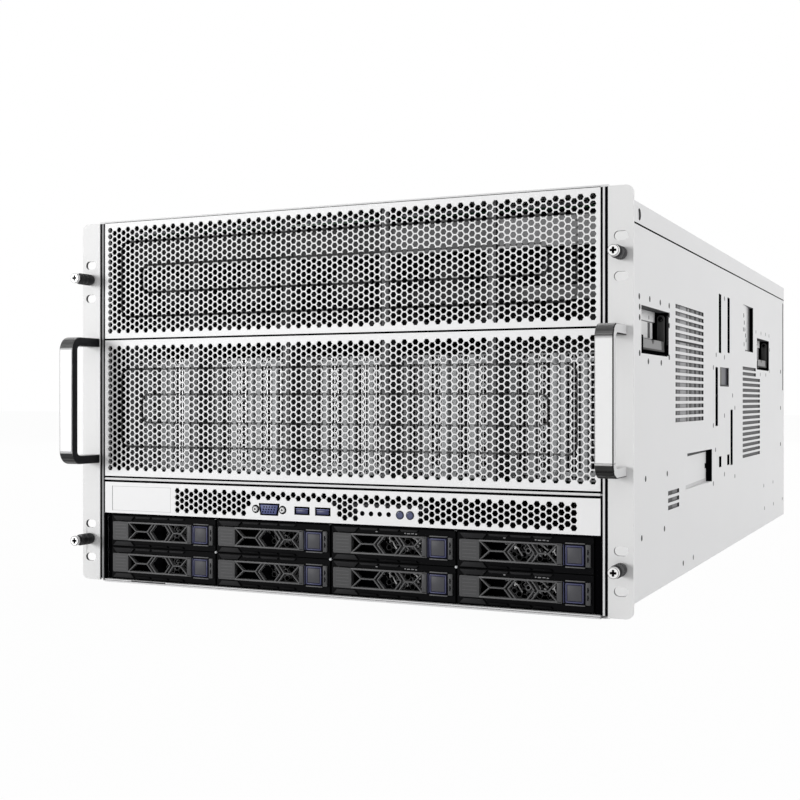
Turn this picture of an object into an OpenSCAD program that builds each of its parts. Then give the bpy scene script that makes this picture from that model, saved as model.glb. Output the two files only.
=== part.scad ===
// Rack server chassis with hot-swap drives, a fan row, accelerator cards and plug-in power supplies.
// Millimetres. +X is right seen from the front, the front faces -Y, +Z is up, z = 0 is the underside.

/* [Chassis] */
// Width of the body between the rack ears
body_w = 446; // [444:0.5:447]
// Height of the body, just under seven rack units
body_h = 308; // [306:0.5:310]
// Depth from the front panels to the rear panel
body_d = 895; // [880:5:960]
// Thickness of the sheet steel in walls, shelves and cover
sheet_t = 1.5; // [1.2:0.1:1.8]
// Height of the folded sides of the top cover
cover_flange_h = 16.3; // [12:0.1:20]

/* [Front bands] */
// Height of the folded lip under the drive bays
lip_h = 2.5; // [2:0.1:4]
// Height of the opening that holds the drive bays
bays_h = 55.9; // [55.5:0.1:60]
// Height of the port panel
port_panel_h = 27.5; // [26:0.5:30]
// Height of the bright shelf edge above the port panel
strip_h = 2.6; // [2:0.1:4]
// Height of the middle mesh panel
middle_panel_h = 116.3; // [112:0.1:118]
// Seam between neighbouring front panels
seam = 0.7; // [0.4:0.1:1]
// Thickness of the front panels
panel_t = 1.2; // [1:0.1:1.5]
// Width of the front panels
panel_w = 435; // [432:0.5:436]
// Depth of the folded rims behind the front panels
rim_d = 9; // [7:0.5:12]

/* [Mesh] */
// Vertical pitch of the hexagonal holes
mesh_pitch = 10.66; // [9.5:0.01:16]
// Width of the web between two holes
mesh_web = 1.7; // [1.2:0.1:3]
// Plain border round a mesh field
mesh_border = 6; // [5:0.5:10]

/* [Rack ears] */
// Width over both ears, the 19 inch standard
ear_span = 482.6; // [482:0.1:483]
// Height of an ear
ear_h = 305.6; // [304:0.1:307]
// Thickness of an ear
ear_t = 2.5; // [2:0.1:3]
// Distance between the two columns of rack holes
rack_hole_span = 465.1; // [464.5:0.1:465.5]
// Height of the lowest ear slot
slot_z = 20.4; // [18:0.1:22]
// Height from the lowest slot to the next one
slot_step = 28.58; // [28.5:0.01:28.7]
// Height from the lowest slot to the highest one
slot_span = 250.85; // [250.5:0.05:251]
// Length of an ear slot
slot_l = 10.5; // [10:0.1:11]
// Width of an ear slot
slot_w = 6.8; // [6.5:0.1:7]
// Distance from a slot to the captive screw beside it
screw_step = 15.9; // [14:0.1:17]
// Radius of the captive screw's neck
screw_neck_r = 2.5; // [2:0.1:3]

/* [Handles] */
// Reach of a handle in front of its ear
handle_reach = 36; // [30:1:50]
// Height of a handle
handle_h = 106.8; // [90:0.1:120]
// Width of a handle
handle_w = 13.4; // [10:0.1:16]
// Thickness of the handle bar
handle_t = 7.3; // [5:0.1:9]
// Outer corner radius of a handle
handle_r = 11; // [9:0.5:15]
// Height of the middle of a handle
handle_z = 154.8; // [120:0.1:190]

/* [Drive bays] */
// Number of bay columns
bay_columns = 4; // [3:1:4]
// Distance between neighbouring bay columns
bay_step = 106.4; // [106:0.1:107.5]
// Width of one drive carrier
carrier_w = 104.8; // [104.4:0.1:105]
// Height of one drive carrier
carrier_h = 26.6; // [26.3:0.1:26.8]
// Thickness of the drive cage sheet
cage_t = 0.8; // [0.6:0.1:1]
// Depth of the drive cage
cage_d = 183; // [175:1:200]
// Height of a carrier's swinging lever
lever_h = 15.9; // [14:0.1:17]
// Width of a 3.5 inch drive
drive_w = 101.6; // [101:0.1:102]
// Length of a 3.5 inch drive
drive_l = 147; // [145:0.5:148]
// Height of a 3.5 inch drive
drive_h = 26.1; // [19:0.1:26.1]

/* [Fan row] */
// Distance between neighbouring fans
fan_pitch = 88.3; // [86:0.1:88.5]
// Depth of a fan frame
fan_d = 38; // [32:1:56]
// Radius of a fan rotor over its blades
rotor_r = 38.9; // [34:0.1:39]
// Number of blades on a rotor
blade_count = 7; // [5:1:9]

/* [Power supplies] */
// Width of a power supply
psu_w = 73.5; // [73:0.1:74]
// Height of a power supply
psu_h = 40; // [39:0.1:40.2]
// Length of a power supply
psu_l = 185; // [180:1:190]
// Reach of a power supply's pull behind the rear panel
psu_reach = 22; // [18:1:30]

/* [Side grips] */
// Length of a side grip pocket
pocket_l = 90; // [80:1:100]
// Height of a side grip pocket
pocket_h = 37; // [34:0.5:42]
// Depth of a side grip pocket
pocket_d = 24; // [20:1:30]

/* [Clearances] */
// Gap between parts that slide past each other
slide_gap = 0.35; // [0.3:0.05:0.5]
// Radial clearance of a pin in its bore
pin_gap = 0.05; // [0.02:0.01:0.08]
// Gap between pieces that are fixed to each other
fit_gap = 0.05; // [0.02:0.01:0.2]

/* [Hidden] */
COLUMNS = [1 : bay_columns];

steel = [0.86, 0.87, 0.88];
panel_white = [0.95, 0.95, 0.96];
black = [0.06, 0.06, 0.07];
$fn = 48;

half_w = body_w / 2;
wall_in = half_w - sheet_t;                          // inner face of a side wall
front_y = (handle_reach - body_d - psu_reach) / 2;   // front plane, with the box centred on y = 0
rear_in = body_d - sheet_t;                          // inner face of the rear panel
roof_z = body_h - sheet_t;                           // underside of the top cover
z_bays = lip_h;
z_ports = z_bays + bays_h + seam;
z_strip = z_ports + port_panel_h + seam;
z_middle = z_strip + strip_h + seam;
z_upper = z_middle + middle_panel_h + seam;
upper_panel_h = roof_z - 0.2 - z_upper;
shelf_low = z_strip + sheet_t;                       // top face of the lower shelf
shelf_high = z_upper - seam / 2 + sheet_t / 2;       // top face of the upper shelf
eps = 0.01;

// ---- helpers -------------------------------------------------------------

// The server's own axes: y = 0 is the front panel plane.
module placed() translate([0, front_y, 0]) children();

module block(low, high) translate(low) cube(high - low);

module both_sides() { children(); mirror([1, 0, 0]) children(); }

// A drawing in x and z, made a plate from y to y + t.
module front_plate(y, t) translate([0, y + t, 0]) rotate([90, 0, 0]) linear_extrude(t) children();

// A drawing in y and z, made a plate from x to x + t.
module side_plate(x, t) translate([x, 0, 0]) rotate([90, 0, 90]) linear_extrude(t) children();

// A rod along y from y to y + l.
module rod_y(x, z, r, y, l) translate([x, y, z]) rotate([-90, 0, 0]) cylinder(r = r, h = l);

module slot_shape(l, w) {
    square([l - w, w], center = true);
    for (s = [-1, 1]) translate([s * (l - w) / 2, 0]) circle(d = w);
}

// Staggered columns of regular hexagons, flat sides up and down, filling w by h.
module hex_field(w, h) {
    step = mesh_pitch * sqrt(3) / 2;
    hole_d = (mesh_pitch - mesh_web) * 2 / sqrt(3);
    pairs = floor((w - hole_d) / step / 2);
    rows = floor((h - hole_d) / mesh_pitch);
    for (i = [-pairs : pairs]) {
        odd = abs(i) % 2;
        for (j = [0 : rows - odd])
            translate([i * step, (j - rows / 2 + odd / 2) * mesh_pitch]) circle(d = hole_d, $fn = 6);
    }
}

// ---- chassis -------------------------------------------------------------

// Flat pan with a folded lip in front and pressed ribs that carry the drive cage.
pan_ribs = [-160, -54, 54, 160];
module base_pan() color(steel) placed() {
    block([-wall_in, 4, 0], [wall_in, body_d, sheet_t]);
    block([-panel_w / 2, 0, 0], [panel_w / 2, 4, lip_h]);
    for (x = pan_ribs) block([x - 6, 20, sheet_t - eps], [x + 6, cage_d, lip_h]);
}

// Distances of the side wall's features from the front plane, all on y.
grip_y = [97, 664];
vent_y = [218.6, 563.4];
vent_z = [136, 90.2];
vent_l = 122.8;
vent_rows = 17;
vent_row_step = 6.2;
vent_row_h = 3.7;
grip_z = 192.5;
grip_shaft_drop = 5.5;                 // from the pocket's top to the grip's pivot

module tall_slot(y, z0, z1, w = 6) translate([y, (z0 + z1) / 2]) rotate(90) slot_shape(z1 - z0, w);

module side_cuts() {
    for (y = grip_y) translate([y, grip_z]) square([pocket_l, pocket_h]);
    for (i = [0, 1], j = [0 : vent_rows - 1]) {
        short = i == 1 && j > vent_rows - 3 ? 0.75 : 1;
        translate([vent_y[i], vent_z[i] + j * vent_row_step]) square([vent_l * short, vent_row_h]);
    }
    tall_slot(426.5, 203, 263.8);
    tall_slot(475.3, 204.6, 263.7);
    tall_slot(408.5, 128.8, 188.9);
    tall_slot(493.3, 85.6, 145.5);
    tall_slot(427.5, 86.5, 98.3);
    tall_slot(473.6, 86.6, 98.2);
    translate([426.4, 171]) square([50, 18]);          // window onto the inner board
    for (j = [0 : 2]) translate([190.3, 62 + j * vent_row_step]) square([43, vent_row_h]);
    translate([887, 168.7]) square([1, 117.5]);        // seam of the rear frame
    translate(scoop_high[0]) square(scoop_high[1]);
    translate(scoop_low[0]) square(scoop_low[1]);
}

// Two scoops pressed inwards from the wall: corner and size on y and z, and how deep their ends lie.
scoop_d = 6;
scoop_high_d = 4;
scoop_high = [[561.4, 211], [74, 52], scoop_high_d];
scoop_low = [[252.5, 75], [131, 32], scoop_d];

module scoop(place) {
    y0 = place[0][0];
    y1 = y0 + place[1][0];
    bed = half_w - place[2];
    difference() {
        translate([0, 0, place[0][1] - sheet_t]) linear_extrude(place[1][1] + 2 * sheet_t)
            polygon([[half_w, y0], [wall_in, y0], [bed - sheet_t, y1], [bed - sheet_t, y1 + sheet_t], [half_w, y1 + sheet_t]]);
        translate([0, 0, place[0][1]]) linear_extrude(place[1][1])
            polygon([[half_w + eps, y0], [bed, y1], [half_w + eps, y1]]);
    }
}

module wall_sheet() difference() {
    union() {
        block([wall_in, 4, 0], [half_w, body_d, body_h - cover_flange_h - 0.3]);
        block([wall_in - sheet_t, 4, body_h - cover_flange_h - 9], [wall_in, rear_in, roof_z]);
        return_flange();
    }
    side_plate(wall_in - 5, 10) side_cuts();
}

// The wall's front edge folds back on itself and shows as a bright line beside the panels.
return_x = wall_in - 2.3;
module return_flange() {
    block([return_x, 0.3, lip_h], [return_x + sheet_t, 37, roof_z]);
    block([return_x, 35.5, lip_h], [wall_in, 37, roof_z]);
}

// Pressed pocket behind a grip, open outwards, with the two pivot pins the grip swings on.
pocket_t = 1;
pivot_x = half_w - 5;
pivot_z = grip_z + pocket_h - grip_shaft_drop;
pivot_r = 1.5;
module grip_pocket(y) {
    x0 = wall_in - pocket_d;
    difference() {
        block([x0, y - pocket_t, grip_z - pocket_t],
              [wall_in - fit_gap, y + pocket_l + pocket_t, grip_z + pocket_h + pocket_t]);
        block([x0 + pocket_t, y, grip_z], [half_w, y + pocket_l, grip_z + pocket_h]);
    }
    rod_y(pivot_x, pivot_z, pivot_r, y - eps, grip_arm_t + 1.6);
    rod_y(pivot_x, pivot_z, pivot_r, y + pocket_l - grip_arm_t - 1.6, grip_arm_t + 1.6 + eps);
}

module side_wall() {
    wall_sheet();
    for (place = [scoop_high, scoop_low]) scoop(place);
    for (y = grip_y) color(black) grip_pocket(y);
}
module side_wall_right() color(steel) placed() side_wall();
module side_wall_left() color(steel) placed() mirror([1, 0, 0]) side_wall();

// Round hole for a cover screw in each folded side.
cover_hole = [91, body_h - 9];
cover_hole_r = 4.6;

module top_cover() color(steel) placed() difference() {
    union() {
        block([-half_w, 0.3, roof_z], [half_w, body_d, body_h]);
        both_sides() block([wall_in, 4, body_h - cover_flange_h], [half_w, body_d, roof_z + eps]);
    }
    for (s = [-1, 1]) translate([s * half_w, cover_hole[0], cover_hole[1]]) rotate([0, 90, 0])
        cylinder(r = cover_hole_r, h = 4 * sheet_t, center = true);
}

// Two shelves part the case into three bays, and pillars part the upper two into fan widths.
pillar_w = 6;
pillar_d = 20;
module shelf(top, front) {
    block([-return_x + 0.2, front, top - sheet_t], [return_x - 0.2, 38, top]);
    block([-wall_in, 37.3, top - sheet_t], [wall_in, body_d - 200, top]);
}
module pillar(x, z0, z1)
    block([x - pillar_w / 2, rim_d, z0 + fit_gap], [x + pillar_w / 2, rim_d + pillar_d, z1 - fit_gap]);

// Room for what is pressed into the side walls, cut from the shelves.
module wall_pockets_room() both_sides() {
    for (y = grip_y) block([wall_in - pocket_d - 1, y - pocket_t - 1, grip_z - pocket_t - 1],
                           [half_w, y + pocket_l + pocket_t + 1, grip_z + pocket_h + pocket_t + 1]);
    for (place = [scoop_high, scoop_low]) {
        room = sheet_t + 1;
        block([half_w - place[2] - room, place[0][0] - room, place[0][1] - room],
              [half_w, place[0][0] + place[1][0] + room, place[0][1] + place[1][1] + room]);
    }
}
module bay_frame() color(steel) placed() {
    difference() {
        union() {
            shelf(shelf_low, 0.8);
            block([-panel_w / 2, 0, z_strip], [panel_w / 2, sheet_t, z_strip + strip_h]);
            shelf(shelf_high, rim_d);
        }
        wall_pockets_room();
    }
    for (x = [-1.5, -0.5, 0.5, 1.5] * fan_pitch) {
        pillar(x, shelf_low, shelf_high - sheet_t);
        pillar(x, shelf_high, roof_z);
    }
}

// ---- front panels --------------------------------------------------------

module front_panel(z, h) {
    front_plate(0, panel_t) difference() {
        translate([-panel_w / 2, z]) square([panel_w, h]);
        children();
    }
    difference() {
        block([-panel_w / 2, panel_t - eps, z], [panel_w / 2, rim_d, z + h]);
        block([-panel_w / 2 + panel_t, 0, z + panel_t], [panel_w / 2 - panel_t, rim_d + 1, z + h - panel_t]);
    }
}
module mesh_panel(z, h) front_panel(z, h)
    translate([0, z + h / 2]) hex_field(panel_w - 2 * mesh_border, h - 2 * mesh_border);
module upper_mesh() color(panel_white) placed() mesh_panel(z_upper, upper_panel_h);
module middle_mesh() color(panel_white) placed() mesh_panel(z_middle, middle_panel_h);

// Places on the port panel: each is [x, z] of a centre.
port_z = z_ports + 8.6;
vga_x = -54.6;
usb_x = [-24.5, -5.8];
lamp_x = [28.9, 36.4, 43.8, 51.4];
button_x = [60.9, 69.4];
lamp_r = 1.6;
button_r = 2.7;
vga_w = 18.3;
vga_h = 8.6;
usb_w = 12.5;
usb_h = 5.4;
jack_screw_x = 12.5;

// The D-shaped outline of a fifteen-pin display connector.
module d_shape(w, h, r = 1.6) {
    translate([0, r]) square([w - 2 * r, h - 2 * r + 2 * eps], center = true);
    polygon([[-w / 2, h / 2 - r], [w / 2, h / 2 - r], [w / 2 - 1.4, r - h / 2], [1.4 - w / 2, r - h / 2]]);
    for (s = [-1, 1]) {
        translate([s * (w / 2 - r), h / 2 - r]) circle(r = r);
        translate([s * (w / 2 - 1.4 - r), r - h / 2]) circle(r = r);
    }
    square([w - 2 * (1.4 + r), h], center = true);
}

module port_panel() color(panel_white) placed() front_panel(z_ports, port_panel_h) {
    for (span = [[-143, -76], [80, 198]])
        translate([(span[0] + span[1]) / 2, z_ports + port_panel_h / 2])
            hex_field(span[1] - span[0], port_panel_h - 2 * panel_t - 2);
    translate([2, z_ports + port_panel_h - 7.2]) hex_field(140, mesh_pitch + 3);
    translate([vga_x, port_z]) d_shape(vga_w + 0.6, vga_h + 0.6);
    for (s = [-1, 1]) translate([vga_x + s * jack_screw_x, port_z]) circle(r = 2.6);
    for (x = usb_x) translate([x, port_z]) square([usb_w + 0.6, usb_h + 0.6], center = true);
    for (x = lamp_x) translate([x, port_z]) circle(r = lamp_r + 0.05);
    for (x = button_x) translate([x, port_z]) circle(r = button_r + slide_gap);
}

// A small board stands behind the port panel and carries the ports, light pipes and switches.
ports_board_y = 18;
switch_d = 5;
stem_r = 1.2;
module front_ports() placed() {
    color("darkgreen") block([-72, ports_board_y, port_z - 7.5], [78, ports_board_y + 1.6, port_z + 6]);
    color("royalblue") difference() {
        front_plate(0.4, ports_board_y - 0.4) translate([vga_x, port_z]) d_shape(vga_w, vga_h);
        for (row = [-1, 0, 1], i = [-2 : 2])
            rod_y(vga_x + i * 2.3 + row * 0.4, port_z + row * 2.2, 0.5, 0, 4, $fn = 16);
    }
    color("silver") for (s = [-1, 1]) difference() {
        rod_y(vga_x + s * jack_screw_x, port_z, 2.4, -1.6, ports_board_y + 1.6, $fn = 6);
        rod_y(vga_x + s * jack_screw_x, port_z, 1.2, -2, 6, $fn = 24);
    }
    color("silver") for (x = usb_x) difference() {
        front_plate(0.2, ports_board_y - 0.2) translate([x, port_z]) square([usb_w, usb_h], center = true);
        front_plate(0, 12) translate([x, port_z - 1]) square([usb_w - 1, usb_h - 3], center = true);
        front_plate(0, 12) translate([x, port_z + 1.9]) square([usb_w - 1, 0.7], center = true);
    }
    color("white") for (x = lamp_x) rod_y(x, port_z, lamp_r, 0.1, ports_board_y - 0.1);
    color("dimgray") for (x = button_x) difference() {
        front_plate(ports_board_y - switch_d, switch_d) translate([x, port_z]) square([7, 7], center = true);
        rod_y(x, port_z, stem_r + pin_gap, ports_board_y - switch_d - 1, switch_d);
    }
}

module push_button(x) color([0.35, 0.38, 0.5]) placed() {
    rod_y(x, port_z, button_r, -0.8, 8);
    rod_y(x, port_z, stem_r, 7, ports_board_y - 7 - 2.8);
}
module power_button() push_button(button_x[0]);
module id_button() push_button(button_x[1]);

// ---- rack ears, handles and captive screws ---------------------------------

ear_low = (body_h - ear_h) / 2;
ear_outer_r = 5.5;
ear_leg_l = 60;
rack_x = rack_hole_span / 2;
slot_heights = [slot_z, slot_z + slot_step, slot_z + slot_span - slot_step, slot_z + slot_span];
screw_heights = [slot_z + screw_step, slot_z + slot_span - slot_step + screw_step];
screw_ring_r = screw_neck_r + 1.6;     // the ring that keeps the screw captive, flush in the ear's back
screw_ring_t = 1.2;

module ear_outline() difference() {
    union() {
        translate([half_w, ear_low]) square([ear_span / 2 - half_w - ear_outer_r, ear_h]);
        translate([half_w, ear_low + ear_outer_r]) square([ear_span / 2 - half_w, ear_h - 2 * ear_outer_r]);
        for (z = [ear_low + ear_outer_r, ear_low + ear_h - ear_outer_r])
            translate([ear_span / 2 - ear_outer_r, z]) circle(r = ear_outer_r);
    }
    for (z = slot_heights) translate([rack_x, z]) slot_shape(slot_l, slot_w);
    for (z = screw_heights) translate([rack_x, z]) circle(r = screw_neck_r + pin_gap);
}
module rack_ears() color(steel) placed() both_sides() {
    difference() {
        front_plate(0, ear_t) ear_outline();
        for (z = screw_heights) rod_y(rack_x, z, screw_ring_r + slide_gap, ear_t - screw_ring_t - slide_gap, ear_t);
    }
    block([half_w, ear_t - eps, ear_low + 11], [half_w + 2, ear_leg_l, ear_low + ear_h - 11]);
}

// A bar outline in y and z whose two front corners are round.
module front_rounded(reach, h, r) {
    translate([r - reach, 0]) square([reach - r, h]);
    translate([-reach, r]) square([r + eps, h - 2 * r]);
    for (z = [r, h - r]) translate([r - reach, z]) circle(r = r);
}
module handle() translate([0, 0, handle_z - handle_h / 2]) side_plate(half_w + 0.2, handle_w) difference() {
    front_rounded(handle_reach, handle_h, handle_r);
    translate([eps, handle_t]) front_rounded(handle_reach - handle_t, handle_h - 2 * handle_t, handle_r - handle_t);
}
module front_handles() color("silver") placed() both_sides() handle();

// A captive screw: recessed head, knurled sleeve, neck through the ear and a retaining ring.
screw_head_r = 4.8;
sleeve_r = 5.2;
sleeve_l = 14;
knurls = 20;
module thumbscrew(k) color("silver") placed() {
    x = (k > 2 ? 1 : -1) * rack_x;
    z = screw_heights[(k - 1) % 2];
    translate([x, 0, z]) {
        difference() {
            union() {
                rod_y(0, 0, screw_head_r, -sleeve_l - 8, 8);
                rod_y(0, 0, sleeve_r, -sleeve_l - 1, sleeve_l + 1 - slide_gap);
            }
            rotate([-90, 0, 0]) for (i = [1 : knurls]) rotate(i * 360 / knurls)
                translate([sleeve_r + 0.2, 0, -sleeve_l - 0.5]) cylinder(r = 0.5, h = sleeve_l, $fn = 4);
            for (a = [45, 135]) rotate([0, a, 0]) block([-2.6, -sleeve_l - 9, -0.5], [2.6, -sleeve_l - 6.2, 0.5]);
        }
        rod_y(0, 0, screw_neck_r, -1, ear_t + 7);
        rod_y(0, 0, screw_ring_r, ear_t - screw_ring_t, screw_ring_t);
    }
}

// ---- drive bays ------------------------------------------------------------

cage_w = panel_w - 2 * 0.9;
cage_low = z_bays + 0.05;
cage_high = z_bays + bays_h - 0.05;
cage_front = 4;
row_step = (cage_high - cage_low - 2 * cage_t) / 2;
ledge_w = 1.5;
rail_h = 22;
rail_t = 1.5;
bezel_d = 14;
drive_front = 20;

function bay_x(k) = (((k - 1) % bay_columns) + 0.5 - bay_columns / 2) * bay_step;
function bay_z(k) = cage_low + cage_t + (k > bay_columns ? 0.5 : 1.5) * row_step;

module at_bay(k) translate([bay_x(k), 0, bay_z(k)]) children();

module drive_cage() placed() {
    color(black) difference() {
        block([-cage_w / 2, cage_front, cage_low], [cage_w / 2, cage_front + cage_d, cage_high]);
        // Hollow spacers beside the outer bays, closed at the front.
        both_sides() block([(bay_columns * bay_step + cage_t) / 2, cage_front + 6, cage_low + cage_t],
                           [cage_w / 2 - cage_t, body_d, cage_high - cage_t]);
        for (c = COLUMNS) translate([bay_x(c), 0, 0]) {
            open_w = bay_step - cage_t;
            for (r = [0, 1]) translate([0, 0, cage_low + cage_t + (r + 0.5) * row_step])
                block([-open_w / 2, 0, -rail_h / 2 - slide_gap], [open_w / 2, body_d, rail_h / 2 + slide_gap]);
            block([ledge_w - open_w / 2, 0, cage_low + cage_t],
                  [open_w / 2 - ledge_w, body_d, cage_high - cage_t]);
            block([-open_w / 2, 0, cage_low + cage_t], [open_w / 2, 2 + bezel_d + slide_gap, cage_high - cage_t]);
        }
    }
    color("darkgreen") block([-cage_w / 2, cage_front + cage_d + fit_gap, cage_low],
                             [cage_w / 2, cage_front + cage_d + 1.6, cage_high]);
    color(black) for (k = [1 : 2 * bay_columns]) at_bay(k)
        block([-21, drive_front + drive_l + 1, -9], [21, cage_front + cage_d + 1, -2]);
}

// Places across a carrier's face, from its middle.
lever_left = -50.6;
lever_right = 29.3;
release_x = 38.7;
release_w = 14;
release_h = 14.6;
release_frame = 18.6;
lever_axis = [lever_left + 4.2, 3.2];
lever_room = 1.1;                      // beside the lever, where its rounded end swings
lever_t = 5;
lever_pin_r = 1.2;
carrier_front = 1;

// Tabs widen outwards, one over the lever's pad and three over its lattice.
tabs = [[-39.4, 21.6], [-19.6, 16.2], [-2.2, 17.2], [14.6, 15.2]];
module tab_shape(w) polygon([[3.2 - w / 2, 0], [w / 2 - 3.2, 0], [w / 2, 3.6], [-w / 2, 3.6]]);

// Hollow bezel with tabs along both long edges, two side rails, and the drive between them.
module carrier(k) placed() at_bay(k) {
    color(black) difference() {
        union() {
            block([-carrier_w / 2, carrier_front + 1.5, -carrier_h / 2],
                  [carrier_w / 2, bezel_d + carrier_front, carrier_h / 2]);
            front_plate(carrier_front, 1.6) for (s = [0, 1]) mirror([0, s])
                for (tab = tabs)
                    translate([tab[0], lever_h / 2 + 1]) tab_shape(tab[1]);
            for (s = [-1, 1]) translate([s * (drive_w + rail_t + 2 * fit_gap) / 2, 0, 0])
                block([-rail_t / 2, bezel_d, -rail_h / 2], [rail_t / 2, drive_front + drive_l, rail_h / 2]);
        }
        block([lever_left - lever_room, 0, -lever_h / 2 - slide_gap],
              [lever_right + slide_gap, bezel_d - 1.5, lever_h / 2 + slide_gap]);
        block([release_x - release_w / 2 - slide_gap, 0, -release_h / 2 - slide_gap],
              [release_x + release_w / 2 + slide_gap, bezel_d - 2, release_h / 2 + slide_gap]);
        translate([lever_axis[0], carrier_front + lever_axis[1], -lever_h / 2 - 2])
            cylinder(r = lever_pin_r + pin_gap, h = lever_h + 4);
        rod_y(release_x, 0, stem_r + pin_gap, bezel_d - 4, 8);
        for (x = [-24, -8, 8]) block([x - 6, bezel_d - 3, -5], [x + 6, bezel_d + 3, 5]);
    }
    color("silver") block([-drive_w / 2, drive_front, -drive_h / 2], [drive_w / 2, drive_front + drive_l, drive_h / 2]);
}

// A straight rib of the lever's lattice, from one point to another.
module rib(from, to, w = 1.1) {
    d = to - from;
    translate(from) rotate(atan2(d[1], d[0])) translate([0, -w / 2]) square([norm(d), w]);
}

// The lattice is two bow ties with doubled arms round a six-sided cell.
lattice_left = -34.2;
end_plate = 4;
module lattice() {
    l = lattice_left;
    r = lever_right - end_plate;
    h = lever_h / 2 - 1;
    for (chain = [
        [[l, h], [l + 7.8, 0], [l, -h]],
        [[l + 7.8, 0], [l + 18.9, 0]],
        [[l + 24.8, h], [l + 18.9, 0], [l + 24.8, -h]],
        [[l + 28, h], [l + 22.1, 0], [l + 28, -h]],
        [[r - 22.7, h], [r - 17.3, 0], [r - 22.7, -h]],
        [[r - 19.1, h], [r - 13.9, 0], [r - 19.1, -h]],
        [[r - 13.9, 0], [r - 6.6, 0]],
        [[r, h], [r - 6.6, 0], [r, -h]]])
        for (i = [1 : len(chain) - 1]) rib(chain[i - 1], chain[i]);
}

module lever(k) color([0.2, 0.2, 0.21]) placed() at_bay(k) translate([0, carrier_front, 0]) {
    front_plate(0, lever_t) difference() {
        translate([lattice_left - 1, -lever_h / 2]) square([lever_right - lattice_left + 1, lever_h]);
        translate([lattice_left, 1.2 - lever_h / 2]) square([lever_right - end_plate - lattice_left, lever_h - 2.4]);
    }
    front_plate(1, lever_t - 2) intersection() {
        lattice();
        translate([lattice_left - 0.5, 0.6 - lever_h / 2]) square([lever_right - lattice_left, lever_h - 1.2]);
    }
    translate([0, 0, -lever_h / 2]) linear_extrude(lever_h) {
        translate([lever_axis[0], 0]) square([lattice_left - lever_axis[0] - 0.5, lever_t]);
        translate([lever_left + 0.4, 0]) square([lever_axis[0] - lever_left, 2.2]);
        translate([lever_axis[0], lever_axis[1]]) circle(r = 2.6);
        translate([lever_axis[0] - 2.6, 1]) square([5.2, lever_axis[1] - 1]);
    }
    translate([lever_axis[0], lever_axis[1], -lever_h / 2 - 1.5]) cylinder(r = lever_pin_r, h = lever_h + 3);
}

module release(k) color([0.32, 0.34, 0.42]) placed() at_bay(k) {
    difference() {
        block([release_x - release_w / 2, carrier_front - 0.4, -release_h / 2],
              [release_x + release_w / 2, carrier_front + 7, release_h / 2]);
        block([release_x - release_w / 2 + 1.1, 0, 1.1 - release_h / 2],
              [release_x + release_w / 2 - 1.1, carrier_front, release_h / 2 - 1.1]);
    }
    rod_y(release_x, 0, stem_r, carrier_front + 6, bezel_d - 6);
}

// ---- fan row ---------------------------------------------------------------

fan_front = 30;
fan_w = 81.5;
fan_board_z = z_upper + 87;
fan_frame_h = fan_board_z - 1.2 - shelf_high - fit_gap;
fan_z = shelf_high + fan_frame_h / 2;
hub_r = 17;
shaft_r = 2;

module fan_frame() {
    difference() {
        block([-fan_w / 2, fan_front, shelf_high], [fan_w / 2, fan_front + fan_d, shelf_high + fan_frame_h]);
        rod_y(0, fan_z, rotor_r + 0.6, fan_front - 1, fan_d + 2);
    }
    difference() {
        union() {
            rod_y(0, fan_z, hub_r, fan_front + fan_d - 4, 4);
            for (a = [45 : 90 : 315]) translate([0, 0, fan_z]) rotate([0, a, 0])
                block([hub_r - 1, fan_front + fan_d - 4, -2], [rotor_r + 1.6, fan_front + fan_d, 2]);
        }
        rod_y(0, fan_z, shaft_r + pin_gap, fan_front + fan_d - 5, 4);
    }
}

// Frames stand on the upper shelf under a folded bracket that carries the fan board.
module fan_frames() placed() for (i = [-2 : 2]) translate([i * fan_pitch, 0, 0]) {
    color(black) fan_frame();
    color(steel) {
        block([-fan_w / 2, 12, fan_board_z - 26.6], [fan_w / 2, 13.2, fan_board_z]);
        block([-fan_w / 2, 13.2 - eps, fan_board_z - 1.2], [fan_w / 2, fan_front + fan_d, fan_board_z]);
    }
    color("darkgreen") block([-fan_w / 2, 11, fan_board_z + fit_gap], [fan_w / 2, fan_front + fan_d, fan_board_z + 1.6]);
}

// Outline of a blade seen along the axle: a thin crescent from the hub to the tip.
blade_twist = 46;
blade_t = 1.8;
blade_bow_r = 40;
module blade_shape() intersection() {
    circle(r = rotor_r, $fn = 36);
    translate([hub_r + 3, 2 - blade_bow_r]) difference() {
        circle(r = blade_bow_r, $fn = 30);
        circle(r = blade_bow_r - blade_t, $fn = 30);
    }
    translate([hub_r - 3, -rotor_r]) square([rotor_r, 2 * rotor_r]);
}

// Swept blades, twisted round the axle so that their pitch flattens towards the tips.
module fan_rotor(k) color(black) placed() translate([(k - 3) * fan_pitch, fan_front + 4, fan_z]) rotate([-90, 0, 0]) {
    rotor_l = fan_d - 9;
    cylinder(r = hub_r - 1, h = rotor_l);
    for (i = [1 : blade_count]) rotate(i * 360 / blade_count) translate([0, 0, 1])
        linear_extrude(rotor_l - 2, twist = blade_twist, slices = 5, segments = 0, $fn = 0) blade_shape();
    translate([0, 0, rotor_l - eps]) cylinder(r = shaft_r, h = 3.5);
}

// ---- cards and boards --------------------------------------------------------

card_w = 38;
card_h = 96;
card_l = 267;
card_front = 32;
card_low = shelf_low + 6;
card_board_z = shelf_low + 3;
card_step = 40.6;                      // between the two cards of a pair
card_board_w = panel_w - 11;
card_board_l = card_l + 113;
fins = 9;

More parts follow.
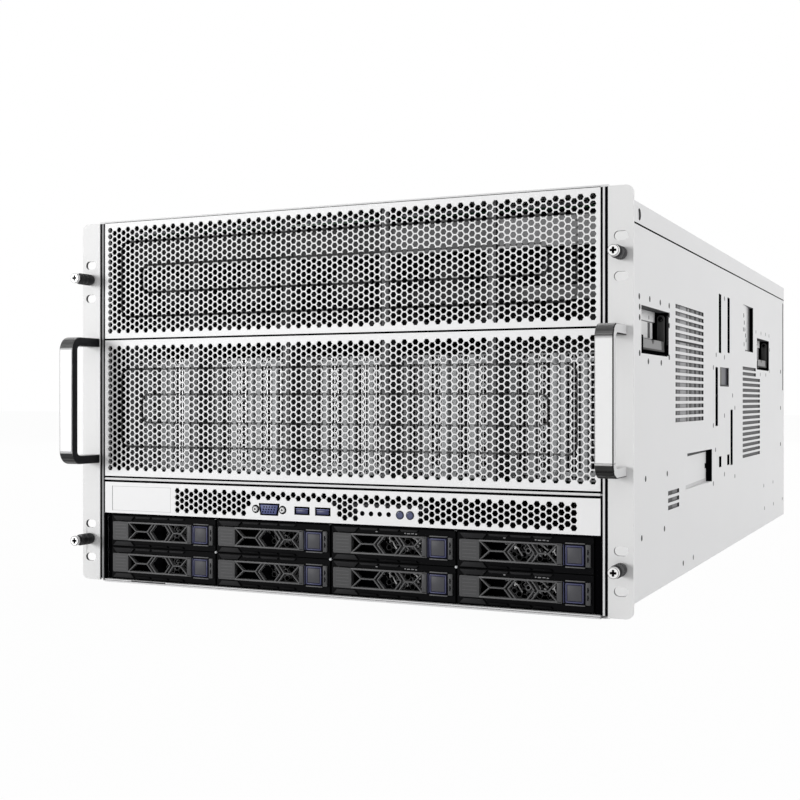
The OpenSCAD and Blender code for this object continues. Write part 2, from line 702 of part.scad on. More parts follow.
// A passive card: closed housing, with its heat sink fins showing at the front end.
module accelerator_card() difference() {
    block([-card_w / 2, card_front, card_low], [card_w / 2, card_front + card_l, card_low + card_h]);
    gap = (card_w - 3) / fins;
    for (i = [0 : fins - 1]) translate([(i + 0.5 - fins / 2) * gap, 0, 0])
        block([-gap / 2 + 0.6, 0, card_low + 5], [gap / 2 - 0.6, card_front + 25, card_low + card_h - 3]);
}
module accelerator_cards() placed() {
    for (i = [-2 : 2], s = [-0.5, 0.5]) translate([i * fan_pitch + s * card_step, 0, 0]) {
        color("silver") accelerator_card();
        color(black) block([-4, card_front + card_l * 0.22, card_board_z + 1.5], [4, card_front + card_l * 0.56, card_low - fit_gap]);
    }
    color("darkgreen") block([-card_board_w / 2, card_front, card_board_z],
                              [card_board_w / 2, card_front + card_board_l, card_board_z + 1.6]);
    color("silver") for (x = [-0.47, -0.165, 0.165, 0.47] * card_board_w, y = [card_front + 12, card_front + card_board_l - 20])
        translate([x, y, shelf_low]) cylinder(r = 3, h = card_board_z - shelf_low);
}

board_z = sheet_t + 6.5;
board_w = panel_w - 25;
board_l = 385;
board_y = [cage_front + cage_d + 28, cage_front + cage_d + 28 + board_l];
sink_x = board_w / 4 - 0.5;
sink_y = board_y[0] + 205;
module heat_sink() {
    block([-39, -54, 0], [39, 54, 8]);
    for (i = [-8 : 8]) block([i * 4.7 - 0.5, -54, 7], [i * 4.7 + 0.5, 54, 62]);
}
module mainboard() placed() {
    color("darkgreen") block([-board_w / 2, board_y[0], board_z], [board_w / 2, board_y[1], board_z + 1.6]);
    color("silver") for (x = [10 - board_w / 2, 0, board_w / 2 - 10], y = [board_y[0] + 10, board_y[1] - 10])
        translate([x, y, sheet_t]) cylinder(r = 3, h = board_z - sheet_t);
    for (s = [-1, 1]) translate([s * sink_x, sink_y, board_z + 1.6 + fit_gap]) {
        color("silver") heat_sink();
        color("darkgreen") for (side = [-1, 1], i = [0 : 3])
            block([side * (56 + i * 9) - 0.7, -67, 0], [side * (56 + i * 9) + 0.7, 67, 32]);
    }
}

// ---- rear ----------------------------------------------------------------------

psu_wall = 1;
psu_cell_w = psu_w + 2 * slide_gap;
psu_cell_h = psu_h + 2 * slide_gap;
psu_cage_w = 2 * psu_cell_w + 3 * psu_wall;
psu_cage_h = 2 * psu_cell_h + 3 * psu_wall;
psu_cage_x = -208;
psu_front = body_d - psu_l;
slot_bracket_step = 20.32;
bracket_count = 7;
bracket_x = -40;

function psu_x(k) = psu_cage_x + psu_wall + psu_cell_w / 2 + ((k - 1) % 2) * (psu_cell_w + psu_wall);
function psu_z(k) = sheet_t + psu_wall + psu_cell_h / 2 + floor((k - 1) / 2) * (psu_cell_h + psu_wall);

module psu_cells(y0, y1) for (k = [1 : 4])
    translate([psu_x(k), 0, psu_z(k)])
        block([-psu_cell_w / 2, y0, -psu_cell_h / 2], [psu_cell_w / 2, y1, psu_cell_h / 2]);

module psu_cage() color(steel) placed() difference() {
    block([psu_cage_x, psu_front - 12, sheet_t], [psu_cage_x + psu_cage_w, rear_in, sheet_t + psu_cage_h]);
    psu_cells(psu_front - 8, body_d + 10);
}

module psu(k) color([0.7, 0.71, 0.72]) placed() translate([psu_x(k), 0, psu_z(k)]) {
    difference() {
        block([-psu_w / 2, psu_front, -psu_h / 2], [psu_w / 2, body_d + 1, psu_h / 2]);
        rod_y(-psu_w / 2 + 20.5, 0, 17, body_d - 4, 10);
        block([psu_w / 2 - 30, body_d - 12, -9], [psu_w / 2 - 6, body_d + 4, 9]);
    }
    for (r = [6, 11.5]) difference() {
        rod_y(-psu_w / 2 + 20.5, 0, r + 0.8, body_d - 1, 1.6);
        rod_y(-psu_w / 2 + 20.5, 0, r - 0.8, body_d - 2, 4);
    }
    for (a = [45, 135]) translate([-psu_w / 2 + 20.5, 0, 0]) rotate([0, a, 0])
        block([-17.5, body_d - 1, -0.7], [17.5, body_d + 0.6, 0.7]);
    side_plate(-1, 4) translate([body_d, 2 - psu_h / 2]) mirror([1, 0]) difference() {
        front_rounded(psu_reach, psu_h - 4, 6);
        translate([eps, 4]) front_rounded(psu_reach - 4, psu_h - 12, 2.5);
    }
}

module rear_panel() placed() {
    color(steel) difference() {
        block([-wall_in, rear_in, sheet_t], [wall_in, body_d, roof_z]);
        psu_cells(rear_in - 1, body_d + 1);
        for (i = [0 : bracket_count - 1])
            block([bracket_x + i * slot_bracket_step - 6.5, 0, 9], [bracket_x + i * slot_bracket_step + 6.5, 2000, 80]);
        for (i = [-2 : 2], j = [0 : 12]) translate([i * 86, 0, shelf_low + 8 + j * 7.5])
            block([-36, 0, 0], [36, 2000, 4]);
        for (i = [-2 : 2], j = [0 : 10]) translate([i * 86, 0, shelf_high + 8 + j * 7.5])
            block([-36, 0, 0], [36, 2000, 4]);
        for (x = [132, 151], z = [20, 48]) block([x - 7.5, 0, z - 6.5], [x + 7.5, 2000, z + 6.5]);
    }
    color("silver") for (i = [0 : bracket_count - 1])
        translate([bracket_x + i * slot_bracket_step, rear_in - fit_gap, 0]) block([-9, -0.9, 5], [9, 0, 84]);
}

// ---- side grips ------------------------------------------------------------------

grip_arm_t = 3;
grip_bar_h = 9;
grip_bar_z = grip_z + 3;
module grip(y) difference() {
    union() {
        for (a = [y + 0.6, y + pocket_l - 0.6 - grip_arm_t]) {
            block([pivot_x - 3, a, grip_bar_z + 2], [pivot_x + 3, a + grip_arm_t, pivot_z]);
            rod_y(pivot_x, pivot_z, 3, a, grip_arm_t);
        }
        difference() {
            block([pivot_x - 4, y + 0.6, grip_bar_z], [pivot_x + 3, y + pocket_l - 0.6, grip_bar_z + grip_bar_h]);
            side_plate(pivot_x - 5, 10) translate([y + pocket_l / 2, grip_bar_z + grip_bar_h])
                polygon([[-9, 1], [-9, 0], [-5, -3.4], [5, -3.4], [9, 0], [9, 1]]);
        }
    }
    rod_y(pivot_x, pivot_z, pivot_r + pin_gap, y - 1, pocket_l + 2);
}
module side_grip(k) color("dimgray") placed() mirror([k > 2 ? 0 : 1, 0, 0]) grip(grip_y[(k - 1) % 2]);

// ---- nodes -------------------------------------------------------------------------

base_pan();
side_wall_left();
side_wall_right();
top_cover();
rear_panel();
bay_frame();
drive_cage();
psu_cage();
rack_ears();
front_handles();
upper_mesh();
middle_mesh();
port_panel();
front_ports();
fan_frames();
accelerator_cards();
mainboard();
power_button();
id_button();
for (k = [1 : 2 * bay_columns]) {
    carrier(k);
    lever(k);
    release(k);
}
for (k = [1 : 5]) fan_rotor(k);
for (k = [1 : 4]) {
    thumbscrew(k);
    side_grip(k);
    psu(k);
}
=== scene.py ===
"""Visual model of a rack server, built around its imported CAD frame.

Every sub-assembly is a class. Sizes are in millimetres on the server's own axes:
X to the right seen from the front, Y backwards from the front panel plane, Z up from the underside.
"""

import logging
import math
from collections.abc import Callable, Iterable, Sequence
from dataclasses import dataclass, replace
from enum import Enum
from functools import partial

import bmesh
import bpy
from mathutils import Matrix, Vector


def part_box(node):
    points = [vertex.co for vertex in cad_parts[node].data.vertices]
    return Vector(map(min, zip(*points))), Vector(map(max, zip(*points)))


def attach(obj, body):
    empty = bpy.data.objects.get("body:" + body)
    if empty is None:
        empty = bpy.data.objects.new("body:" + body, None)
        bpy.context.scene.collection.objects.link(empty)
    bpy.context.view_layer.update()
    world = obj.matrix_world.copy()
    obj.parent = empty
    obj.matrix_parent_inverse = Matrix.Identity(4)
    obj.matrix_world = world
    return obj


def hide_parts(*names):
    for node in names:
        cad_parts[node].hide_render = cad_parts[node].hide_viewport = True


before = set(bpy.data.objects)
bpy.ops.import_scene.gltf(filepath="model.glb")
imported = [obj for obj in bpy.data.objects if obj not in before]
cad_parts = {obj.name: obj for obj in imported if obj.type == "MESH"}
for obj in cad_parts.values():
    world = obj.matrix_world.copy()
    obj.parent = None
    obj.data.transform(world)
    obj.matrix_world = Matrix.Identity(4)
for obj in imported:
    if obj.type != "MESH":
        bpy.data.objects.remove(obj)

LOG = logging.getLogger("rack_server")
MM = 0.001
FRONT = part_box("upper_mesh")[0].y
TO_ROW = Matrix.Translation((0.0, FRONT, 0.0)) @ Matrix.Scale(MM, 4)
TO_SERVER = TO_ROW.inverted()

# Corner radius of the pressed rings in millimetres.
RING_CORNER = 7.0
# Faces larger than this, in square metres, shade flat.
FLAT_ABOVE = 2e-4

Point = Sequence[float]
Colour = tuple[float, float, float]
Mesh = bmesh.types.BMesh
Tone = Callable[[Vector, Vector], "Finish | None"]
Tree = bpy.types.NodeTree
Node = bpy.types.Node
Socket = bpy.types.NodeSocket
Sockets = bpy.types.bpy_prop_collection


class Along(Enum):
    """Which edges or which direction an operation works along."""

    X = 0
    Y = 1
    Z = 2
    ALL = 3


# ---- shader nodes ------------------------------------------------------------


def feed(tree: Tree, socket: Socket, value: object) -> None:
    """Links a socket to the value where that is a socket, and otherwise sets its default."""
    if isinstance(value, Socket):
        tree.links.new(value, socket)
    else:
        socket.default_value = value


def shader_node(tree: Tree, kind: str, settings: dict[str, object] | None = None, **values: object) -> Node:
    """Adds a shader node.

    Args:
        tree: Tree that the node goes into.
        kind: The node's type without its prefix.
        settings: The node's own settings, set before its inputs.
        **values: Socket or value for each input, with _ for a space in the input's name.

    Returns:
        The new node.
    """
    made = tree.nodes.new(f"ShaderNode{kind}")
    for key, setting in (settings or {}).items():
        setattr(made, key, setting)
    for key, value in values.items():
        feed(tree, made.inputs[key.replace("_", " ")], value)
    return made


def maths(tree: Tree, operation: str, *values: object) -> Socket:
    """Adds a Math node.

    Args:
        tree: Tree that the node goes into.
        operation: The node's operation.
        *values: Socket or number for each input in turn.

    Returns:
        The node's output.
    """
    made = shader_node(tree, "Math", {"operation": operation})
    for socket, value in zip(made.inputs, values):
        feed(tree, socket, value)
    return made.outputs[0]


class EffectGroups:
    """Shader node groups that several finishes share, each built once."""

    def __init__(self) -> None:
        """Builds every group."""
        self.grain = self._grain()
        self.drift = self._drift()
        self.brushing = self._brushing()
        self.pressed_rings = self._pressed_rings()

    @staticmethod
    def _start(name: str, inputs: dict[str, object], outputs: Sequence[str]) -> tuple[Tree, Sockets, Sockets]:
        """Starts a node group whose first input is the place, named Vector.

        Args:
            name: Name of the group.
            inputs: Default of each further input: a number, three for a vector, or four for a colour.
            outputs: Name of each output. Colour is a colour, any other is a number.

        Returns:
            The group, the sockets of its inputs and the sockets of its outputs.
        """
        group = bpy.data.node_groups.new(name, "ShaderNodeTree")
        group.interface.new_socket("Vector", in_out="INPUT", socket_type="NodeSocketVector")
        for label, default in inputs.items():
            count = len(default) if isinstance(default, tuple) else 1
            kind = {1: "Float", 3: "Vector", 4: "Color"}[count]
            socket = group.interface.new_socket(label, in_out="INPUT", socket_type=f"NodeSocket{kind}")
            socket.default_value = default
        for label in outputs:
            kind = "Color" if label == "Colour" else "Float"
            group.interface.new_socket(label, in_out="OUTPUT", socket_type=f"NodeSocket{kind}")
        return group, group.nodes.new("NodeGroupInput").outputs, group.nodes.new("NodeGroupOutput").inputs

    def _grain(self) -> Tree:
        """Builds the fine pebbled surface of powder coat or moulded plastic."""
        group, given, out = self._start("Surface grain", {"Scale": 900.0}, ["Height"])
        place = {"Vector": given["Vector"], "Scale": given["Scale"]}
        noise = shader_node(group, "TexNoise", Detail=3.0, Roughness=0.6, **place)
        cells = shader_node(group, "TexVoronoi", Randomness=1.0, **place)
        height = maths(group, "MULTIPLY_ADD", cells.outputs["Distance"], 0.45, noise.outputs["Fac"])
        feed(group, out["Height"], height)
        return group

    def _drift(self) -> Tree:
        """Builds the slow change of tone over a surface."""
        group, given, out = self._start(
            "Tone drift",
            {"Colour": (0.8, 0.8, 0.8, 1.0), "Amount": 0.1, "Scale": 14.0, "Roughness": 0.5},
            ["Colour", "Rough"],
        )
        noise = shader_node(group, "TexNoise", Vector=given["Vector"], Scale=given["Scale"], Detail=4.0)
        swing = maths(group, "SUBTRACT", noise.outputs["Fac"], 0.5)
        level = maths(group, "ADD", maths(group, "MULTIPLY", swing, given["Amount"]), 1.0)
        scaled = shader_node(group, "VectorMath", {"operation": "SCALE"}, Vector=given["Colour"], Scale=level)
        feed(group, out["Colour"], scaled.outputs[0])
        feed(group, out["Rough"], maths(group, "MULTIPLY", given["Roughness"], level))
        return group

    def _brushing(self) -> Tree:
        """Builds the fine parallel lines of a brushed or rolled metal."""
        group, given, out = self._start("Brushed lines", {"Stretch": (1.0, 1.0, 60.0)}, ["Height"])
        stretched = shader_node(group, "VectorMath", {"operation": "MULTIPLY"}, Vector=given["Vector"])
        feed(group, stretched.inputs[1], given["Stretch"])
        noise = shader_node(group, "TexNoise", Vector=stretched.outputs[0], Scale=60.0, Detail=3.0)
        feed(group, out["Height"], noise.outputs["Fac"])
        return group

    def _pressed_rings(self) -> Tree:
        """Builds the mask of one rounded rectangular groove in X and Z, along which its shade is painted."""
        group, given, out = self._start(
            "Pressed ring",
            {"Half width": 0.2, "Half height": 0.03, "Middle": 0.1, "Line": 0.0012},
            ["Mask"],
        )
        reckon = partial(maths, group)
        radius = RING_CORNER * MM
        place = shader_node(group, "SeparateXYZ", Vector=given["Vector"]).outputs
        height = reckon("SUBTRACT", place["Z"], given["Middle"])
        over_x = reckon("SUBTRACT", reckon("ABSOLUTE", place["X"]), given["Half width"])
        over_z = reckon("SUBTRACT", reckon("ABSOLUTE", height), given["Half height"])
        far_x = reckon("MAXIMUM", reckon("ADD", over_x, radius), 0.0)
        far_z = reckon("MAXIMUM", reckon("ADD", over_z, radius), 0.0)
        outside = reckon(
            "SQRT", reckon("ADD", reckon("MULTIPLY", far_x, far_x), reckon("MULTIPLY", far_z, far_z))
        )
        inside = reckon("MINIMUM", reckon("ADD", reckon("MAXIMUM", over_x, over_z), radius), 0.0)
        line = shader_node(
            group,
            "MapRange",
            {"interpolation_type": "SMOOTHSTEP"},
            Value=reckon("ABSOLUTE", reckon("SUBTRACT", reckon("ADD", outside, inside), radius)),
            From_Min=reckon("MULTIPLY", given["Line"], 0.6),
            From_Max=reckon("MULTIPLY", given["Line"], 1.4),
            To_Min=1.0,
            To_Max=0.0,
        )
        feed(group, out["Mask"], line.outputs[0])
        return group


EFFECTS = EffectGroups()


# ---- finishes ----------------------------------------------------------------


@dataclass(frozen=True)
class Ring:
    """A rounded rectangular groove pressed into a front panel, in millimetres."""

    half_width: float
    low: float
    high: float
    line: float = 1.3

    @property
    def middle(self) -> float:
        """Height of the ring's centre."""
        return (self.low + self.high) / 2

    def distance(self, x: float, z: float) -> float:
        """Distance from a point to the ring's line.

        Args:
            x: The point's place across.
            z: The point's height.

        Returns:
            The distance in millimetres.
        """
        over_x = abs(x) - self.half_width + RING_CORNER
        over_z = abs(z - self.middle) - (self.high - self.low) / 2 + RING_CORNER
        outside = math.hypot(max(over_x, 0.0), max(over_z, 0.0))
        return abs(outside + min(max(over_x, over_z), 0.0) - RING_CORNER)


@dataclass(frozen=True)
class Finish:
    """One surface finish, built as a procedural material when it is first used."""

    name: str
    colour: Colour
    roughness: float = 0.5
    metallic: float = 0.0
    coat: float = 0.0
    grain: float = 0.15
    grain_scale: float = 900.0
    drift: float = 0.1
    drift_scale: float = 14.0
    brushed: Point | None = None
    # Each ring paints a dark line of ring_tone along its pressed groove: painted shade.
    rings: tuple[Ring, ...] = ()
    ring_tone: float = 0.035
    specular: float = 0.3

    def material(self) -> bpy.types.Material:
        """Gives the finish's material, made on the first call and shared afterwards."""
        return bpy.data.materials.get(self.name) or self._build()

    def _build(self) -> bpy.types.Material:
        """Builds the material and its node tree."""
        made = bpy.data.materials.new(self.name)
        made.use_nodes = True
        made.diffuse_color = (*self.colour, 1.0)
        tree = made.node_tree
        place = shader_node(tree, "TexCoord").outputs["Object"]

        def effect(kind: Tree, **values: object) -> Sockets:
            """Places a node group that works in the object's own coordinates.

            Args:
                kind: The group.
                **values: Socket or value for each input, with _ for a space in the input's name.

            Returns:
                The group's outputs.
            """
            return shader_node(tree, "Group", {"node_tree": kind}, Vector=place, **values).outputs

        tone = effect(
            EFFECTS.drift,
            Colour=(*self.colour, 1.0),
            Amount=self.drift,
            Scale=self.drift_scale,
            Roughness=self.roughness,
        )
        colour = tone["Colour"]
        # Painted shade: each ring mixes its dark line into the colour along its groove.
        for ring in self.rings:
            mask = effect(
                EFFECTS.pressed_rings,
                Half_width=ring.half_width * MM,
                Half_height=(ring.high - ring.low) / 2 * MM,
                Middle=ring.middle * MM,
                Line=ring.line * MM,
            )
            dark = (self.ring_tone,) * 3 + (1.0,)
            shade = shader_node(tree, "Mix", {"data_type": "RGBA"}, Factor=mask["Mask"], A=colour, B=dark)
            colour = shade.outputs["Result"]
        if self.brushed is None:
            height = effect(EFFECTS.grain, Scale=self.grain_scale)["Height"]
        else:
            height = effect(EFFECTS.brushing, Stretch=tuple(self.brushed))["Height"]
        bump = shader_node(tree, "Bump", Strength=self.grain, Distance=0.0001, Height=height)
        shader = tree.nodes["Principled BSDF"]
        shader.inputs["Metallic"].default_value = self.metallic
        shader.inputs["Coat Weight"].default_value = self.coat
        shader.inputs["Specular IOR Level"].default_value = self.specular
        tree.links.new(colour, shader.inputs["Base Color"])
        tree.links.new(tone["Rough"], shader.inputs["Roughness"])
        tree.links.new(bump.outputs["Normal"], shader.inputs["Normal"])
        return made


UPPER_RINGS = (Ring(200.0, 226.0, 289.4, 1.0), Ring(179.0, 246.0, 269.0, 1.0))
MIDDLE_RINGS = (Ring(200.0, 116.0, 181.5, 1.0), Ring(179.0, 136.4, 160.0, 1.0))

ZINC = Finish(
    "zinc_sheet", (0.73, 0.73, 0.735), 0.48, grain=0.12, grain_scale=1400.0, drift=0.05, drift_scale=9.0
)
# Darker copies of the zinc sheet for painted shade: zinc_inside on inner faces and inside the case, also the
# rear slot covers and the feet; zinc_shaded in recesses and on shaded faces; zinc_dark in the deepest shade.
# zinc_dark also draws dark seams, rivets and marks, and zinc_shaded a dim painted highlight on the drive
# nets.
ZINC_INSIDE = Finish("zinc_inside", (0.4, 0.41, 0.42), 0.5, specular=0.2)
ZINC_DIM = Finish("zinc_shaded", (0.16, 0.16, 0.165), 0.5, specular=0.15)
ZINC_DARK = Finish("zinc_dark", (0.045, 0.045, 0.047), 0.6, drift=0.15, specular=0.1)
# Coat of the rack ears and the jack nuts, also a painted highlight on the drive nets.
EAR_COAT_AND_GLINT = Finish("ear_coat_and_glint", (0.79, 0.79, 0.79), 0.45, grain_scale=1600.0, drift=0.03)
PANEL_PORTS = Finish(
    "panel_coat_ports", (0.87, 0.87, 0.875), 0.42, grain=0.12, grain_scale=1600.0, drift=0.03
)
PANEL_UPPER = replace(PANEL_PORTS, name="panel_coat_upper", rings=UPPER_RINGS)
PANEL_MIDDLE = replace(PANEL_PORTS, name="panel_coat_middle", rings=MIDDLE_RINGS)
# Grey of the label outline's lines: painted shade of its groove.
PANEL_GROOVE = Finish("panel_groove", (0.55, 0.55, 0.56), 0.5, grain=0.12, drift=0.03, specular=0.2)
# Grey for marks on the walls, also a dim painted highlight on the drive nets and above the lever windows.
ZINC_MARK_AND_GLINT = Finish("zinc_mark_and_glint", (0.26, 0.26, 0.265), 0.5, specular=0.2)
# Tones of the backings behind the vents and of the strips on the scoop beds, with the light and shade seen
# there painted in.
BACK_DARK = Finish("back_dark", (0.13, 0.13, 0.132), 0.6, drift=0.3, drift_scale=60.0, specular=0.1)
BACK_GREY = Finish("back_grey", (0.24, 0.24, 0.245), 0.6, drift=0.3, drift_scale=60.0, specular=0.1)
BACK_PALE = Finish("back_pale", (0.4, 0.4, 0.41), 0.6, drift=0.2, drift_scale=60.0, specular=0.1)
BACK_LIGHT = Finish("back_light", (0.56, 0.56, 0.565), 0.5, drift_scale=60.0, specular=0.2)
# Painted shade on the cut edges of slots and openings.
EDGE_SHADE = Finish("cut_edge_painted_shade", (0.06, 0.06, 0.062), 0.4, grain=0.1, specular=0.2)
# Near black painted shade inside the drive cage and on the shelf frame's faces turned to +X.
SHADE_BLACK = Finish("black_steel", (0.006, 0.006, 0.007), 0.5, grain=0.2, drift=0.2, specular=0.1)
BLACK_PLASTIC = Finish(
    "black_plastic", (0.008, 0.008, 0.009), 0.5, grain=0.35, grain_scale=1300.0, drift=0.2, specular=0.15
)
# Near black that paints the shadow in holes, gaps, slots and recesses.
VOID = Finish("shadow_black", (0.002, 0.002, 0.0025), 0.8, grain=0.1, drift=0.2, specular=0.0)
BAR = Finish("bar_painted_reflection", (0.5,) * 3, 0.36, grain=0.1, grain_scale=1600.0, drift=0.03, specular=0.4)
# Painted reflection on the handle bar: its tone up to each limit of the upward lean of its surface.
BAR_REFLECTION_TONES = (
    (-0.5, 0.015), (-0.2, 0.04), (-0.08, 0.25), (0.1, 0.88), (0.25, 0.45), (0.4, 0.2), (0.7, 0.1),
    (0.9, 0.28),
    (2.0, 0.6),
)
BAR_REFLECTIONS = tuple(
    (limit, replace(BAR, name=f"bar_painted_reflection_{i}", colour=(level,) * 3))
    for i, (limit, level) in enumerate(BAR_REFLECTION_TONES)
)
# The handles' sides: near black on the inner sides and shaded edges, painted shade; grey on the outer sides,
# painted light.
HANDLE_SHADE = Finish(
    "handle_side_painted_shade", (0.013, 0.013, 0.015), 0.38, drift=0.3, brushed=(1.0, 25.0, 1.0), specular=0.15
)
HANDLE_LIT_SIDE = Finish(
    "handle_outer_painted_light", (0.62, 0.62, 0.625), 0.4, grain=0.1, drift=0.08, brushed=(1.0, 25.0, 1.0)
)
BRIGHT = Finish(
    "bright_metal", (0.78, 0.78, 0.79), 0.3, metallic=0.9, drift=0.12, drift_scale=60.0, specular=0.5
)
SCREW = Finish(
    "screw_zinc",
    (0.66, 0.66, 0.67),
    0.32,
    metallic=0.8,
    grain=0.2,
    drift=0.15,
    drift_scale=90.0,
    specular=0.5,
)
SCREW_HEAD = Finish(
    "screw_head", (0.8, 0.8, 0.8), 0.4, metallic=0.3, grain=0.1, drift=0.12, drift_scale=200.0, specular=0.5
)
KNURL = Finish("knurled_sleeve", (0.03, 0.03, 0.032), 0.35, metallic=0.3, grain=0.2, drift=0.2)
DARK_METAL = Finish("dark_metal", (0.035, 0.035, 0.04), 0.4, metallic=0.5, grain=0.2, drift=0.2, specular=0.2)
CARRIER = Finish(
    "carrier_black", (0.0025, 0.0025, 0.003), 0.5, grain=0.35, grain_scale=1500.0, drift=0.2, specular=0.03
)
CARRIER_TAB = Finish(
    "carrier_tab", (0.017, 0.017, 0.018), 0.5, grain=0.4, grain_scale=1500.0, drift=0.12, specular=0.06
)
LEVER = Finish(
    "lever_grey", (0.07, 0.07, 0.072), 0.42, grain=0.45, grain_scale=1700.0, drift=0.12, specular=0.15
)
# Grey of the lever's ribs, also a dim painted highlight on the drive nets.
LEVER_RIB_AND_GLINT = Finish("lever_rib_and_glint", (0.11, 0.11, 0.112), 0.4, grain=0.4, grain_scale=1700.0, specular=0.2)
RELEASE = Finish("release_grey", (0.07, 0.07, 0.078), 0.42, grain=0.4, grain_scale=1700.0, specular=0.15)
RELEASE_LINE = Finish("release_line", (0.075, 0.08, 0.16), 0.35, grain=0.2, specular=0.2)
RELEASE_DARK = Finish("release_shadow", (0.014, 0.014, 0.035), 0.42, grain=0.3, specular=0.1)
NET = Finish("net_grey", (0.014, 0.014, 0.015), 0.45, grain=0.4, drift=0.6, drift_scale=300.0, specular=0.1)
NET_EDGE = Finish("net_edge", (0.075, 0.075, 0.077), 0.35, grain=0.4, drift=0.9, drift_scale=260.0)
BUTTON = Finish(
    "button_blue_grey", (0.06, 0.07, 0.15), 0.35, coat=0.2, grain=0.2, drift=0.15, drift_scale=200.0
)
SOCKET_BLUE = Finish("socket_blue", (0.075, 0.09, 0.22), 0.38, grain=0.2)
TONGUE = Finish("socket_tongue", (0.028, 0.032, 0.1), 0.35, grain=0.2)
USB_LINE = Finish("socket_line", (0.2, 0.22, 0.45), 0.35, grain=0.2)
BOARD = Finish(
    "board_green",
    (0.012, 0.05, 0.022),
    0.4,
    coat=0.15,
    grain=0.3,
    grain_scale=500.0,
    drift=0.3,
    drift_scale=120.0,
    specular=0.2,
)
BOARD_PALE = replace(BOARD, name="board_olive", colour=(0.035, 0.034, 0.016), coat=0.1, drift_scale=80.0)
BOARD_GREY = replace(BOARD_PALE, name="board_slate", colour=(0.06, 0.06, 0.075))
CARD = Finish("card_housing", (0.95, 0.95, 0.96), 0.3, metallic=0.85, drift=0.06, specular=0.5)
CARD_DIM = Finish("card_side", (0.05, 0.05, 0.052), 0.5, specular=0.1)
# Bracket tones stepping from near black at the left fan to grey at the right one: painted light and shade.
BRACKET_LIGHT_STEPS = tuple(
    Finish(f"bracket_{i}", (level, level, level * 1.02), 0.5, drift=0.2, specular=0.1)
    for i, level in enumerate((0.004, 0.012, 0.05, 0.16, 0.3))
)
FIN = Finish("heat_sink_fin", (0.5, 0.5, 0.505), 0.35, metallic=0.8, specular=0.5)
GRIP = Finish("grip_grey", (0.17, 0.17, 0.173), 0.45, grain=0.4, grain_scale=1200.0, specular=0.5)
FAN_PLASTIC = Finish(
    "fan_black", (0.007, 0.007, 0.008), 0.42, grain=0.3, grain_scale=1200.0, drift=0.2, specular=0.15
)
SUPPLY = Finish("supply_steel", (0.5, 0.51, 0.52), 0.38, metallic=0.6, grain=0.2, drift=0.08, specular=0.5)
PULL = Finish("pull_plastic", (0.02, 0.02, 0.022), 0.42, grain=0.35, drift=0.15)
LATCH = Finish("latch_plastic", (0.16, 0.02, 0.02), 0.4, grain=0.3, specular=0.5)
STATUS_LAMP = Finish("status_lamp", (0.1, 0.6, 0.2), 0.3, coat=0.4, grain=0.1, specular=0.5)
FLOOR = Finish("studio_floor", (0.9, 0.9, 0.9), 0.8, grain=0.05, drift=0.01, specular=0.5)


# ---- shaping tools -----------------------------------------------------------


def bevel(part: Mesh, edges: list[bmesh.types.BMEdge], size: float, segments: int) -> None:
    """Bevels edges of a part, held back where there is no room."""
    bmesh.ops.bevel(
        part,
        geom=edges,
        offset=size,
        segments=segments,
        profile=0.5,
        affect="EDGES",
        material=-1,
        clamp_overlap=True,
    )


